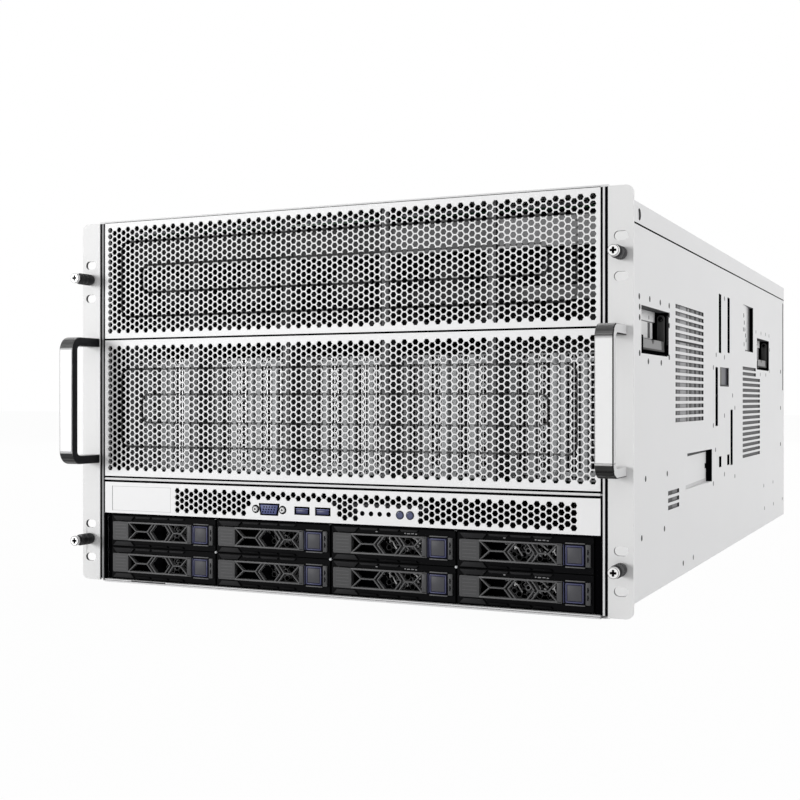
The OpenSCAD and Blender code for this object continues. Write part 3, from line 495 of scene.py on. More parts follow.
class Workpiece:
    """A piece in the making: one bmesh in millimetres on the server's own axes."""

    def __init__(self, finishes: list[Finish] | None = None) -> None:
        """Starts an empty piece.

        Args:
            finishes: The list of finishes to share with a parent piece.
        """
        self.mesh = bmesh.new()
        self.finishes: list[Finish] = [] if finishes is None else finishes

    def jig(self) -> "Workpiece":
        """Starts a sub-piece with the same finishes, to be placed several times."""
        return Workpiece(self.finishes)

    def _slot_of(self, finish: Finish) -> int:
        """Gives the material index of a finish, added when it is new."""
        if finish not in self.finishes:
            self.finishes.append(finish)
        return self.finishes.index(finish)

    def add(self, part: Mesh, finish: Finish | None = None) -> None:
        """Joins a part into the piece and frees it.

        Args:
            part: The part, in millimetres.
            finish: Finish of all its faces, or None to keep what they have.
        """
        if finish is not None:
            index = self._slot_of(finish)
            for face in part.faces:
                face.material_index = index
        carrier = bpy.data.meshes.new("part")
        part.to_mesh(carrier)
        part.free()
        self.mesh.from_mesh(carrier)
        bpy.data.meshes.remove(carrier)

    def place(self, other: "Workpiece", places: Iterable[Point | Matrix]) -> None:
        """Joins copies of a sub-piece.

        Args:
            other: The sub-piece, which is freed.
            places: Offset or transform of each copy.
        """
        source = bpy.data.meshes.new("jig")
        other.mesh.to_mesh(source)
        other.mesh.free()
        for spot in places:
            copy = source.copy()
            copy.transform(spot if isinstance(spot, Matrix) else Matrix.Translation(spot))
            if isinstance(spot, Matrix) and spot.determinant() < 0:
                copy.flip_normals()
            self.mesh.from_mesh(copy)
            bpy.data.meshes.remove(copy)
        bpy.data.meshes.remove(source)

    @staticmethod
    def round_edges(
        part: Mesh, size: float, along: Along = Along.ALL, segments: int = 2, angle: float = 35.0
    ) -> None:
        """Rounds the sharp edges of a part.

        Args:
            part: The part.
            size: Width of the rounding.
            along: Which edges are rounded.
            segments: Steps of the rounding.
            angle: Smallest angle in degrees at which an edge counts as sharp.
        """
        if size <= 0:
            return
        edges = []
        for edge in part.edges:
            if len(edge.link_faces) != 2 or edge.calc_face_angle(0.0) < math.radians(angle):
                continue
            if along is not Along.ALL:
                run = (edge.verts[1].co - edge.verts[0].co).normalized()
                if abs(run[along.value]) < 0.98:
                    continue
            edges.append(edge)
        bevel(part, edges, size, segments)

    def block(
        self,
        low: Point,
        high: Point,
        finish: Finish,
        rounding: float = 0.0,
        along: Along = Along.ALL,
        segments: int = 2,
    ) -> None:
        """Adds a block between two corners.

        Args:
            low: Lowest corner.
            high: Highest corner.
            finish: Its finish.
            rounding: Width of the edge rounding.
            along: Which edges are rounded.
            segments: Steps of the rounding.
        """
        part = bmesh.new()
        bmesh.ops.create_cube(part, size=1.0)
        a, b = Vector(low), Vector(high)
        bmesh.ops.scale(part, vec=b - a, verts=part.verts)
        bmesh.ops.translate(part, vec=(a + b) / 2, verts=part.verts)
        self.round_edges(part, rounding, along, segments)
        self.add(part, finish)

    def prism(
        self,
        outline: Sequence[Point],
        along: Along,
        start: float,
        end: float,
        finish: Finish,
        rounding: float = 0.0,
        segments: int = 2,
    ) -> None:
        """Adds a flat outline pulled straight into a solid.

        Args:
            outline: Corner points in the two axes that along leaves, in X, Y, Z order.
            along: Direction of the pull.
            start: Where the pull starts.
            end: Where it ends.
            finish: Its finish.
            rounding: Width of the edge rounding.
            segments: Steps of the rounding.
        """
        part = bmesh.new()
        others = [axis for axis in range(3) if axis != along.value]
        corners = []
        for point in outline:
            place = [0.0, 0.0, 0.0]
            place[along.value] = start
            for axis, value in zip(others, point):
                place[axis] = value
            corners.append(part.verts.new(place))
        face = part.faces.new(corners)
        pulled = bmesh.ops.extrude_face_region(part, geom=[face])
        shift = Vector((0.0, 0.0, 0.0))
        shift[along.value] = end - start
        bmesh.ops.translate(part, vec=shift, verts=moving_verts(pulled["geom"]))
        bmesh.ops.recalc_face_normals(part, faces=part.faces)
        self.round_edges(part, rounding, Along.ALL, segments)
        self.add(part, finish)

    def rod(
        self,
        start: Point,
        end: Point,
        radius: float,
        finish: Finish,
        sides: int = 24,
        rounding: float = 0.0,
        end_radius: float | None = None,
        turn: float = 0.0,
    ) -> None:
        """Adds a round bar or a cone between two points.

        Args:
            start: Centre of one end.
            end: Centre of the other end.
            radius: Radius at the start.
            finish: Its finish.
            sides: Number of sides.
            rounding: Rounding of the two rims.
            end_radius: Radius at the end, the same as radius when left out.
            turn: Turn about its own axis in degrees.
        """
        part = bmesh.new()
        a, b = Vector(start), Vector(end)
        run = b - a
        bmesh.ops.create_cone(
            part,
            cap_ends=True,
            segments=sides,
            radius1=radius,
            radius2=radius if end_radius is None else end_radius,
            depth=run.length,
        )
        bmesh.ops.rotate(part, matrix=Matrix.Rotation(math.radians(turn), 3, "Z"), verts=part.verts)
        self.round_edges(part, rounding, Along.ALL, 2, 50.0)
        bmesh.ops.rotate(
            part, matrix=Vector((0, 0, 1)).rotation_difference(run).to_matrix(), verts=part.verts
        )
        bmesh.ops.translate(part, vec=(a + b) / 2, verts=part.verts)
        self.add(part, finish)

    def lathe(
        self, profile: Sequence[Point], centre: Point, finish: Finish, along: Along = Along.Y, steps: int = 24
    ) -> None:
        """Adds a turned shape.

        Args:
            profile: Points of (radius, place along the axis); a radius of zero closes an end.
            centre: A point on the axis.
            finish: Its finish.
            along: Direction of the axis.
            steps: Number of steps round the axis.
        """
        part = bmesh.new()
        side = Along.X if along is not Along.X else Along.Z
        verts = []
        for radius, height in profile:
            place = Vector((0.0, 0.0, 0.0))
            place[along.value] = height
            place[side.value] = radius
            verts.append(part.verts.new(place))
        edges = [part.edges.new(pair) for pair in zip(verts, verts[1:])]
        axis = Vector((0.0, 0.0, 0.0))
        axis[along.value] = 1.0
        bmesh.ops.spin(
            part, geom=verts + edges, cent=(0, 0, 0), axis=axis, angle=math.tau, steps=steps, use_merge=True
        )
        bmesh.ops.remove_doubles(part, verts=part.verts, dist=0.001)
        bmesh.ops.recalc_face_normals(part, faces=part.faces)
        bmesh.ops.translate(part, vec=centre, verts=part.verts)
        self.add(part, finish)

    def hoops(self, centre: Point, radii: Sequence[float], wire: float, finish: Finish, steps: int) -> None:
        """Adds rings of round wire about one axis along Y.

        Args:
            centre: Centre of the rings.
            radii: Radius of each ring.
            wire: Radius of the wire.
            finish: Their finish.
            steps: Number of steps round a ring.
        """
        for radius in radii:
            part = bmesh.new()
            bmesh.ops.create_circle(part, cap_ends=False, segments=6, radius=wire)
            bmesh.ops.translate(part, vec=(radius, 0, 0), verts=part.verts)
            ring = part.verts[:] + part.edges[:]
            bmesh.ops.spin(part, geom=ring, axis=(0, 1, 0), angle=math.tau, steps=steps, use_merge=True)
            bmesh.ops.recalc_face_normals(part, faces=part.faces)
            bmesh.ops.translate(part, vec=centre, verts=part.verts)
            self.add(part, finish)

    def bar(self, start: Point, end: Point, width: float, front: float, back: float, finish: Finish) -> None:
        """Adds a straight rib in the plane of the front, with a bevelled face.

        Args:
            start: One end on X and Z.
            end: The other end on X and Z.
            width: Width of the rib.
            front: Place of its front face on Y.
            back: Place of its back face on Y.
            finish: Its finish.
        """
        part = bmesh.new()
        a, b = Vector(start), Vector(end)
        run = b - a
        bmesh.ops.create_cube(part, size=1.0)
        bmesh.ops.scale(part, vec=(run.length, back - front, width), verts=part.verts)
        face = min(part.faces, key=lambda item: item.calc_center_median().y)
        edges = [e for e in face.edges if abs((e.verts[1].co - e.verts[0].co).normalized().x) > 0.9]
        bevel(part, edges, width * 0.28, 1)
        angle = math.atan2(run.y, run.x)
        bmesh.ops.rotate(part, matrix=Matrix.Rotation(-angle, 3, "Y"), verts=part.verts)
        middle = (a + b) / 2
        bmesh.ops.translate(part, vec=(middle.x, (front + back) / 2, middle.y), verts=part.verts)
        self.add(part, finish)

    def copy_node(
        self,
        node: str,
        finish: Finish,
        rounding: float = 0.25,
        segments: int = 1,
        tone: Tone | None = None,
        keep: Callable[[Vector], bool] | None = None,
    ) -> None:
        """Adds a merged copy of a CAD node, with its sharp edges rounded.

        Args:
            node: The CAD node.
            finish: Its finish.
            rounding: Width of the edge rounding.
            segments: Steps of the rounding.
            tone: Gives another finish for a face from its centre and normal, or None.
            keep: Tells from a face's centre whether the face is kept.
        """
        part = bmesh.new()
        part.from_mesh(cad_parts[node].data)
        bmesh.ops.transform(part, matrix=TO_SERVER, verts=part.verts)
        bmesh.ops.remove_doubles(part, verts=part.verts, dist=0.003)
        if keep is not None:
            doomed = [face for face in part.faces if not keep(face.calc_center_median())]
            bmesh.ops.delete(part, geom=doomed, context="FACES")
        bmesh.ops.dissolve_limit(part, angle_limit=math.radians(1.0), verts=part.verts, edges=part.edges)
        self.round_edges(part, rounding, Along.ALL, segments)
        index = self._slot_of(finish)
        for face in part.faces:
            face.material_index = index
            other = tone(face.calc_center_median(), face.normal) if tone else None
            if other is not None:
                face.material_index = self._slot_of(other)
        self.add(part)

    def done(
        self, name: str, body: str, replaces: Sequence[str] = (), smooth: float = 32.0
    ) -> bpy.types.Object:
        """Turns the piece into an object of the scene that rides on its body.

        Args:
            name: Name of the piece.
            body: CAD body it moves with.
            replaces: CAD nodes it stands for.
            smooth: Largest angle in degrees between faces that shade as one surface.

        Returns:
            The object.
        """
        data = bpy.data.meshes.new(name)
        bmesh.ops.transform(self.mesh, matrix=TO_ROW, verts=self.mesh.verts)
        self.mesh.to_mesh(data)
        self.mesh.free()
        for finish in self.finishes:
            data.materials.append(finish.material())
        data.set_sharp_from_angle(angle=math.radians(smooth))
        data.polygons.foreach_set("use_smooth", [face.area < FLAT_ABOVE for face in data.polygons])
        made = bpy.data.objects.new(name, data)
        bpy.context.scene.collection.objects.link(made)
        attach(made, body)
        if replaces:
            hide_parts(*replaces)
        LOG.info("%s: %d faces on %s", name, len(data.polygons), body)
        return made


def mirrored() -> Matrix:
    """Gives the transform that swaps left and right."""
    return Matrix.Scale(-1.0, 4, (1.0, 0.0, 0.0))


def turned(centre: Point, count: int) -> list[Matrix]:
    """Gives evenly spaced turns about the axis along Y through a centre."""
    turns = (Matrix.Rotation(math.tau * i / count, 4, "Y") for i in range(count))
    return [Matrix.Translation(centre) @ turn for turn in turns]


def moving_verts(items: Iterable[object]) -> list[bmesh.types.BMVert]:
    """Picks the vertices out of what an extrusion made."""
    return [item for item in items if isinstance(item, bmesh.types.BMVert)]


# ---- sizes that several sub-assemblies share -----------------------------------


@dataclass(frozen=True)
class Layout:
    """Places that the whole server shares, the same as in the CAD source."""

    half_width: float = 223.0
    wall_inside: float = 221.5
    height: float = 308.0
    depth: float = 895.0
    sheet: float = 1.5
    panel_half: float = 217.5
    rim: float = 9.0
    ports_low: float = 59.1
    ports_high: float = 86.6
    middle_low: float = 90.6
    middle_high: float = 206.9
    upper_low: float = 207.6
    upper_high: float = 306.3
    shelf_low: float = 88.8
    shelf_high: float = 208.0
    rack_x: float = 232.55
    fan_pitch: float = 88.3


SIZE = Layout()


# ---- front panels --------------------------------------------------------------


@dataclass
class HoneycombPanel:
    """A front panel: one sheet with hexagonal holes, pressed rings and folded rims."""

    name: str
    node: str
    low: float
    high: float
    first_hole: float
    last_hole: float
    rows: int
    finish: Finish
    rings: tuple[Ring, ...]
    columns: int = 93
    first_column: float = -212.1
    column_step: float = 4.611
    web: float = 0.92
    sheet: float = 1.0
    press_depth: float = 0.9

    @property
    def pitch(self) -> float:
        """Vertical pitch of the holes."""
        return (self.last_hole - self.first_hole) / (self.rows - 1)

    @property
    def radius(self) -> float:
        """Corner radius of one cell."""
        return self.pitch / math.sqrt(3.0)

    def cell(self, holed: bool = True) -> Mesh:
        """Makes one cell of the sheet, with flat sides up and down.

        Args:
            holed: Whether the cell has its hole.

        Returns:
            The cell in the XZ plane, round the origin.
        """
        part = bmesh.new()
        bmesh.ops.create_circle(part, cap_ends=True, segments=6, radius=self.radius)
        if max(abs(v.co.x) for v in part.verts) < self.radius * 0.99:
            bmesh.ops.rotate(part, matrix=Matrix.Rotation(math.radians(30.0), 3, "Z"), verts=part.verts)
        if holed:
            bmesh.ops.inset_individual(
                part, faces=part.faces[:], thickness=self.web / 2, use_even_offset=True
            )
            centre = min(part.faces, key=lambda item: item.calc_center_median().length)
            bmesh.ops.delete(part, geom=[centre], context="FACES_ONLY")
        bmesh.ops.rotate(part, matrix=Matrix.Rotation(math.radians(90.0), 3, "X"), verts=part.verts)
        stretch = self.column_step / (self.radius * 1.5)
        bmesh.ops.scale(part, vec=(stretch, 1.0, 1.0), verts=part.verts)
        return part

    def column(self, heights: Sequence[tuple[float, bool]]) -> bpy.types.Mesh:
        """Makes one column of cells.

        Args:
            heights: Height of each cell, and whether it has a hole.

        Returns:
            The column as a mesh.
        """
        kinds = {}
        for holed in (True, False):
            kinds[holed] = bpy.data.meshes.new("cell")
            part = self.cell(holed)
            part.to_mesh(kinds[holed])
            part.free()
        stack = bmesh.new()
        for height, holed in heights:
            copy = kinds[holed].copy()
            copy.transform(Matrix.Translation((0.0, 0.0, height)))
            stack.from_mesh(copy)
            bpy.data.meshes.remove(copy)
        for kind in kinds.values():
            bpy.data.meshes.remove(kind)
        data = bpy.data.meshes.new("column")
        stack.to_mesh(data)
        stack.free()
        return data

    def holes_in(self, column: int, count: int) -> list[bool]:
        """Tells which cells of a column have holes, from the top one down."""
        return [True] * count

    def sheet_plane(self) -> Mesh:
        """Tiles the cells and fills the plain border round them.

        Returns:
            The flat sheet at y = 0.
        """
        plane = bmesh.new()
        for i in range(self.columns):
            odd = i % 2
            count = self.rows - odd
            top = self.last_hole - odd * self.pitch / 2
            flags = self.holes_in(i, count)
            data = self.column([(top - j * self.pitch, flags[j]) for j in range(count)])
            data.transform(Matrix.Translation((self.first_column + i * self.column_step, 0.0, 0.0)))
            plane.from_mesh(data)
            bpy.data.meshes.remove(data)
        bmesh.ops.remove_doubles(plane, verts=plane.verts, dist=0.02)
        self.fill_border(plane)
        return plane

    def fill_border(self, plane: Mesh) -> None:
        """Pulls the zigzag outline of the cells out to the panel's edges.

        Args:
            plane: The tiled cells, changed in place.
        """
        hole_side = self.radius - self.web / math.sqrt(3.0)
        limit = (self.radius + hole_side) / 2
        rim = [edge for edge in plane.edges if len(edge.link_faces) == 1 and edge.calc_length() > limit]
        pulled = bmesh.ops.extrude_edge_only(plane, edges=rim)
        last_column = self.first_column + (self.columns - 1) * self.column_step
        reach = self.radius / 2 - 0.4
        for vert in moving_verts(pulled["geom"]):
            place = vert.co
            if place.x > last_column + reach:
                place.x = SIZE.panel_half
            elif place.x < self.first_column - reach:
                place.x = -SIZE.panel_half
            if place.z > self.last_hole - 0.5:
                place.z = self.high
            elif place.z < self.first_hole + 0.5:
                place.z = self.low
        bmesh.ops.remove_doubles(plane, verts=plane.verts, dist=0.02)

    def press_rings(self, plane: Mesh) -> None:
        """Pushes the sheet back along the rings.

        Args:
            plane: The flat sheet, changed in place.
        """
        for vert in plane.verts:
            for ring in self.rings:
                near = ring.distance(vert.co.x, vert.co.z)
                if near < ring.line * 1.3:
                    vert.co.y = self.press_depth * (1.0 - near / (ring.line * 1.3))

    def build(self) -> bpy.types.Object:
        """Builds the panel.

        Returns:
            The object.
        """
        plane = self.sheet_plane()
        self.press_rings(plane)

        def on_outline(vert: bmesh.types.BMVert) -> bool:
            """Tells whether a vertex lies on the panel's outline."""
            place = vert.co
            gaps = (abs(place.x) - SIZE.panel_half, place.z - self.low, place.z - self.high)
            return any(abs(gap) < 0.05 for gap in gaps)

        free = [edge for edge in plane.edges if len(edge.link_faces) == 1]
        outer = [edge for edge in free if all(on_outline(vert) for vert in edge.verts)]
        folded = bmesh.ops.extrude_edge_only(plane, edges=outer)
        bmesh.ops.translate(plane, vec=(0.0, SIZE.rim, 0.0), verts=moving_verts(folded["geom"]))
        bmesh.ops.recalc_face_normals(plane, faces=plane.faces)
        if sum(face.normal.y for face in plane.faces if abs(face.normal.y) > 0.9) > 0:
            bmesh.ops.reverse_faces(plane, faces=plane.faces)
        bmesh.ops.solidify(plane, geom=plane.faces[:], thickness=self.sheet)
        piece = Workpiece()
        piece.add(plane, self.finish)
        return piece.done(self.name, "chassis", [self.node], smooth=25.0)


@dataclass(frozen=True)
class PortPlaces:
    """Places on X of the ports, lamps and buttons, all at one height."""

    vga: float = -54.6
    jacks: tuple[float, ...] = (-54.6 - 12.5, -54.6 + 12.5)
    usb: tuple[float, ...] = (-24.5, -5.8)
    lamps: tuple[float, ...] = (28.9, 36.4, 43.8, 51.4)
    power: float = 60.9
    identify: float = 69.4
    height: float = 67.7


PORTS = PortPlaces()


def vga_outline(half_w: float, half_h: float) -> list[Point]:
    """Gives the D-shaped outline of the display socket.

    Args:
        half_w: Half of the width at the top.
        half_h: Half of the height.

    Returns:
        The corner points on X and Z.
    """
    x, z = PORTS.vga, PORTS.height
    return [
        (x - half_w, z + half_h),
        (x - half_w + 1.5, z - half_h),
        (x + half_w - 1.5, z - half_h),
        (x + half_w, z + half_h),
    ]


@dataclass
class PortPanel(HoneycombPanel):
    """The port panel: honeycomb where it is free, plain sheet round the ports."""

    def holes_in(self, column: int, count: int) -> list[bool]:
        """Keeps the lower cells plain where ports, lamps and buttons stand."""
        if 16 <= column <= 31:
            kept = 1
        elif column in (15, 32):
            kept = 2
        elif 37 <= column <= 47:
            kept = 1 if column % 2 else 2
        else:
            kept = count
        return [j < kept for j in range(count)]

    @staticmethod
    def cutters() -> Workpiece:
        """Makes the solids that cut the openings of ports, lamps and buttons."""
        tool = Workpiece()
        z = PORTS.height
        tool.prism(vga_outline(9.6, 4.7), Along.Y, -3.0, 4.0, EDGE_SHADE, 0.9)
        for x in PORTS.jacks:
            tool.rod((x, -3.0, z), (x, 4.0, z), 3.1, EDGE_SHADE)
        for x in PORTS.usb:
            tool.block((x - 6.7, -3.0, z - 3.2), (x + 6.7, 4.0, z + 3.2), EDGE_SHADE)
        for x in PORTS.lamps:
            tool.rod((x, -3.0, z), (x, 4.0, z), 1.75, EDGE_SHADE, 16)
        for x in (PORTS.power, PORTS.identify):
            tool.rod((x, -3.0, z), (x, 4.0, z), 3.05, EDGE_SHADE)
        return tool

    def build(self) -> bpy.types.Object:
        """Builds the panel and cuts its openings.

        Returns:
            The object.
        """
        made = super().build()
        tool = self.cutters()
        bmesh.ops.transform(tool.mesh, matrix=TO_ROW, verts=tool.mesh.verts)
        data = bpy.data.meshes.new("port_cutters")
        tool.mesh.to_mesh(data)
        tool.mesh.free()
        cutter = bpy.data.objects.new("port_cutters", data)
        bpy.context.scene.collection.objects.link(cutter)
        cut = made.modifiers.new("openings", "BOOLEAN")
        cut.object = cutter
        cut.operation = "DIFFERENCE"
        cut.solver = "EXACT"
        bpy.context.view_layer.update()
        graph = bpy.context.evaluated_depsgraph_get()
        result = bpy.data.meshes.new_from_object(made.evaluated_get(graph))
        made.modifiers.clear()
        made.data = result
        result.shade_flat()
        bpy.data.objects.remove(cutter)
        return made


@dataclass
class FrontPorts:
    """Display socket, USB sockets, lamps and their board behind the port panel."""

    board_y: float = 18.0

    def build(self) -> None:
        """Builds the ports."""
        piece = Workpiece()
        # The label outline: thin lines in groove grey, the left one darker, paint the shade of its groove.
        for a, b, finish, line in (
            ((-209.7, 61.6), (-150.0, 61.6), PANEL_GROOVE, 0.3),
            ((-209.7, 82.0), (-150.0, 82.0), PANEL_GROOVE, 0.3),
            ((-209.7, 61.6), (-209.7, 82.0), ZINC_DIM, 0.5),
            ((-150.0, 61.6), (-150.0, 82.0), PANEL_GROOVE, 0.3),
        ):
            piece.block(
                (a[0] - line / 2, -0.03, a[1] - line / 2), (b[0] + line / 2, 0.05, b[1] + line / 2), finish
            )
        x, z = PORTS.vga, PORTS.height
        piece.block((-72, self.board_y, z - 7.5), (78, self.board_y + 1.6, z + 6), DARK_METAL, 0.2)
        piece.prism(vga_outline(9.0, 4.2), Along.Y, 0.3, self.board_y, VOID, 0.7)
        piece.prism(vga_outline(9.9, 5.0), Along.Y, -0.05, 0.4, VOID, 0.7)
        piece.prism(vga_outline(8.3, 3.7), Along.Y, -0.6, 8.0, SOCKET_BLUE, 0.7)
        contact = piece.jig()
        contact.rod((0, -0.75, 0), (0, 1.0, 0), 0.62, VOID, 8)
        piece.place(
            contact, [(x + i * 2.5 + row * 0.6, 0, z + row * 2.0) for row in (-1, 0, 1) for i in range(-2, 3)]
        )
        jack = piece.jig()
        jack.lathe([(1.0, 0.4), (1.0, -1.5), (2.0, -1.5), (2.3, -1.1), (2.3, 16.0)], (0, 0, 0), EAR_COAT_AND_GLINT, steps=6)
        jack.rod((0, -0.6, 0), (0, 1.2, 0), 1.05, VOID, 12)
        jack.lathe([(2.3, -0.1), (3.4, -0.1), (3.4, 0.3), (2.3, 0.3)], (0, 0, 0), VOID, steps=20)
        piece.place(jack, [(place, 0, z) for place in PORTS.jacks])
        usb = piece.jig()
        for side in (-1, 1):
            usb.block((side * 5.9 - 0.2, 0.3, -2.6), (side * 5.9 + 0.2, self.board_y, 2.6), DARK_METAL, 0.1)
            usb.block(
                (-6.0, 0.3, side * 2.5 - 0.15), (6.0, self.board_y, side * 2.5 + 0.15), DARK_METAL, 0.05
            )
        usb.block((-6.9, -0.04, -3.3), (6.9, 0.2, 3.3), VOID)
        usb.block((-5.3, -0.1, -2.2), (5.3, 15.0, 0.9), TONGUE, 0.2)
        usb.block((-5.5, -0.1, 1.2), (5.5, 14.0, 1.8), USB_LINE, 0.1)
        usb.block((-6.0, 15.0, -2.7), (6.0, 16.0, 2.7), VOID)
        piece.place(usb, [(place, 0, z) for place in PORTS.usb])
        for place in PORTS.lamps:
            piece.rod((place, 0.9, z), (place, self.board_y, z), 1.5, VOID, 16, 0.3)
            piece.rod((place, -0.04, z), (place, 0.3, z), 1.95, VOID, 16)
        for place in (PORTS.power, PORTS.identify):
            piece.block(
                (place - 3.4, self.board_y - 4.5, z - 3.4),
                (place + 3.4, self.board_y, z + 3.4),
                DARK_METAL,
                0.4,
            )
            ring = [(2.72, -0.5), (3.4, -0.15), (3.4, 0.2), (2.72, 0.2)]
            piece.lathe(ring, (place, 0, z), DARK_METAL, steps=28)
        piece.done("front_port_parts", "chassis", ["front_ports"])


@dataclass
class PushButtons:
    """The round power and identification buttons."""

    radius: float = 2.7

    def build(self) -> None:
        """Builds both buttons."""
        z = PORTS.height
        for node, x in (("power_button", PORTS.power), ("id_button", PORTS.identify)):
            piece = Workpiece()
            profile = [
                (0.0, -0.35), (1.7, -0.35), (2.1, -0.75), (2.5, -0.7), (self.radius, -0.4),
                (self.radius, 7.2), (0.0, 7.2),
            ]
            piece.lathe(profile, (x, 0, z), BUTTON, steps=28)
            piece.rod((x, 7.0, z), (x, 15.0, z), 1.2, BUTTON, 16)
            piece.done(f"{node}_cap", node, [node])


# ---- case ------------------------------------------------------------------------


@dataclass
class Case:
    """Sheet metal of the case: pan, side walls, cover, shelves and rear panel."""

    pocket_low: float = 192.5
    pocket_height: float = 37.0
    pocket_length: float = 90.0
    pocket_depth: float = 24.0
    pocket_starts: tuple[float, ...] = (97.0, 664.0)
    rivets: tuple[Point, ...] = (
        (111.0, 93.2), (186.9, 93.3), (405.9, 200.9), (451.6, 260.6), (451.6, 199.8), (391.1, 187.7),
        (391.1, 130.1), (499.3, 160.3), (513.4, 146.9), (451.6, 139.2), (402.2, 105.4), (391.1, 72.3),
        (451.6, 78.4), (513.4, 72.9), (717.5, 49.7), (794.8, 49.7), (98.4, 47.7), (176.5, 47.8),
        (250.4, 10.1), (294.2, 10.3), (723.9, 21.5), (799.2, 21.2), (880.6, 21.9),
    )
    dots: tuple[Point, ...] = ((863.4, 193.4), (863.4, 144.9), (863.4, 96.4))
    near_marks: tuple[Point, ...] = (
        (90.4, 235.6), (124.7, 236.0), (161.2, 235.8), (194.1, 235.5), (91.7, 227.6), (91.7, 219.5),
        (194.1, 227.5), (194.1, 218.6), (91.7, 191.8), (194.1, 191.7), (120.0, 186.1), (164.8, 186.2),
    )
    scoops: tuple[tuple[float, float, float, float], ...] = (
        (252.5, 383.5, 75.0, 107.0), (561.4, 635.4, 211.0, 263.0)
    )
    far_marks: tuple[Point, ...] = (
        (657.0, 236.3), (695.3, 236.4), (731.3, 236.9), (760.3, 236.4), (666.1, 204.4), (764.6, 218.8),
        (762.9, 192.1), (689.8, 186.3), (733.7, 186.5),
    )

    def build(self) -> None:
        """Builds every piece of the case."""
        self.base_pan()
        for node, side in (("side_wall_right", 1.0), ("side_wall_left", -1.0)):
            self.side_wall(node, side)
        self.top_cover()
        self.bay_frame()
        self.rear_panel()

    def base_pan(self) -> None:
        """Builds the pan with pressed dimples under it and dark lines on its front lip."""
        piece = Workpiece()
        piece.copy_node("base_pan", ZINC, 0.2)
        foot = piece.jig()
        foot.lathe([(0.0, -0.01), (4.5, -0.01), (5.5, 0.25), (0.0, 0.26)], (0, 0, 0), ZINC_INSIDE, Along.Z)
        piece.place(foot, [(x, y, 0.0) for x in (-195, -65, 65, 195) for y in (60, 330, 600, 860)])
        piece.block((-SIZE.panel_half, -0.01, 1.25), (SIZE.panel_half, 0.3, 1.6), ZINC_DARK)
        piece.block((-190.0, -0.015, 1.3), (-155.0, 0.3, 2.4), ZINC_DARK, 0.1)
        piece.done("base_tray", "chassis", ["base_pan"])

    def wall_tone(self, side: float) -> Tone:
        """Gives the finish of each part of a side wall.

        Args:
            side: 1 for the right wall, -1 for the left one.

        Returns:
            A function of a face's centre and normal.
        """

        def tone(centre: Vector, normal: Vector) -> Finish | None:
            """Chooses the pocket's black and the painted shade on the pocket's ceiling, the scoops, the cut
            edges and the inner faces.
            """
            across = centre.x * side
            level = -2 < centre.z - self.pocket_low < self.pocket_height + 2
            along = any(-2 < centre.y - start < self.pocket_length + 2 for start in self.pocket_starts)
            if level and along and across < SIZE.wall_inside - 0.01:
                return ZINC_INSIDE if normal.z < -0.7 else VOID
            for start, end, low, high in self.scoops:
                within = start < centre.y < end + 2 and low - 2 < centre.z < high + 2
                if within and across < SIZE.half_width - 0.01:
                    if normal.y < -0.7:
                        return VOID
                    return ZINC_DIM if normal.z < -0.7 else None
            if across < SIZE.wall_inside + 0.2 and normal.x * side < -0.5:
                return ZINC_INSIDE
            slotted = 30 < centre.y < 888 and 50 < centre.z < 288 and across > SIZE.wall_inside
            return EDGE_SHADE if slotted and abs(normal.x) < 0.5 else None

        return tone

    def side_wall(self, node: str, side: float) -> None:
        """Builds one side wall with its rivets, marks and pocket lining.

        Args:
            node: The CAD node.
            side: 1 for the right wall, -1 for the left one.
        """
        piece = Workpiece()
        piece.copy_node(node, ZINC, 0.18, tone=self.wall_tone(side))
        trim = piece.jig()
        outside = SIZE.half_width
        for spots, radius, near, far in (
            (self.rivets, 2.5, ZINC_DARK, ZINC_DIM),
            (self.dots, 2.8, VOID, VOID),
            (self.near_marks + self.far_marks, 2.5, ZINC_DARK, ZINC_MARK_AND_GLINT),
        ):
            for y, z in spots:
                rivet = trim.jig()
                profile = [(0.0, 0.12), (radius * 0.5, 0.16), (radius, 0.0)]
                rivet.lathe(profile, (0, 0, 0), near if y < 260 else far, Along.X, 10)
                trim.place(rivet, [(outside, y, z)])
        trim.block((outside - 0.4, 4.0, 290.3), (outside + 0.04, SIZE.depth - 1, 291.65), VOID)
        for start in self.pocket_starts:
            self.pocket_lining(trim, start)
        self.wall_seams(trim)
        piece.place(trim, [Matrix.Identity(4) if side > 0 else mirrored()])
        piece.done(f"{node}_sheet", "chassis", [node])

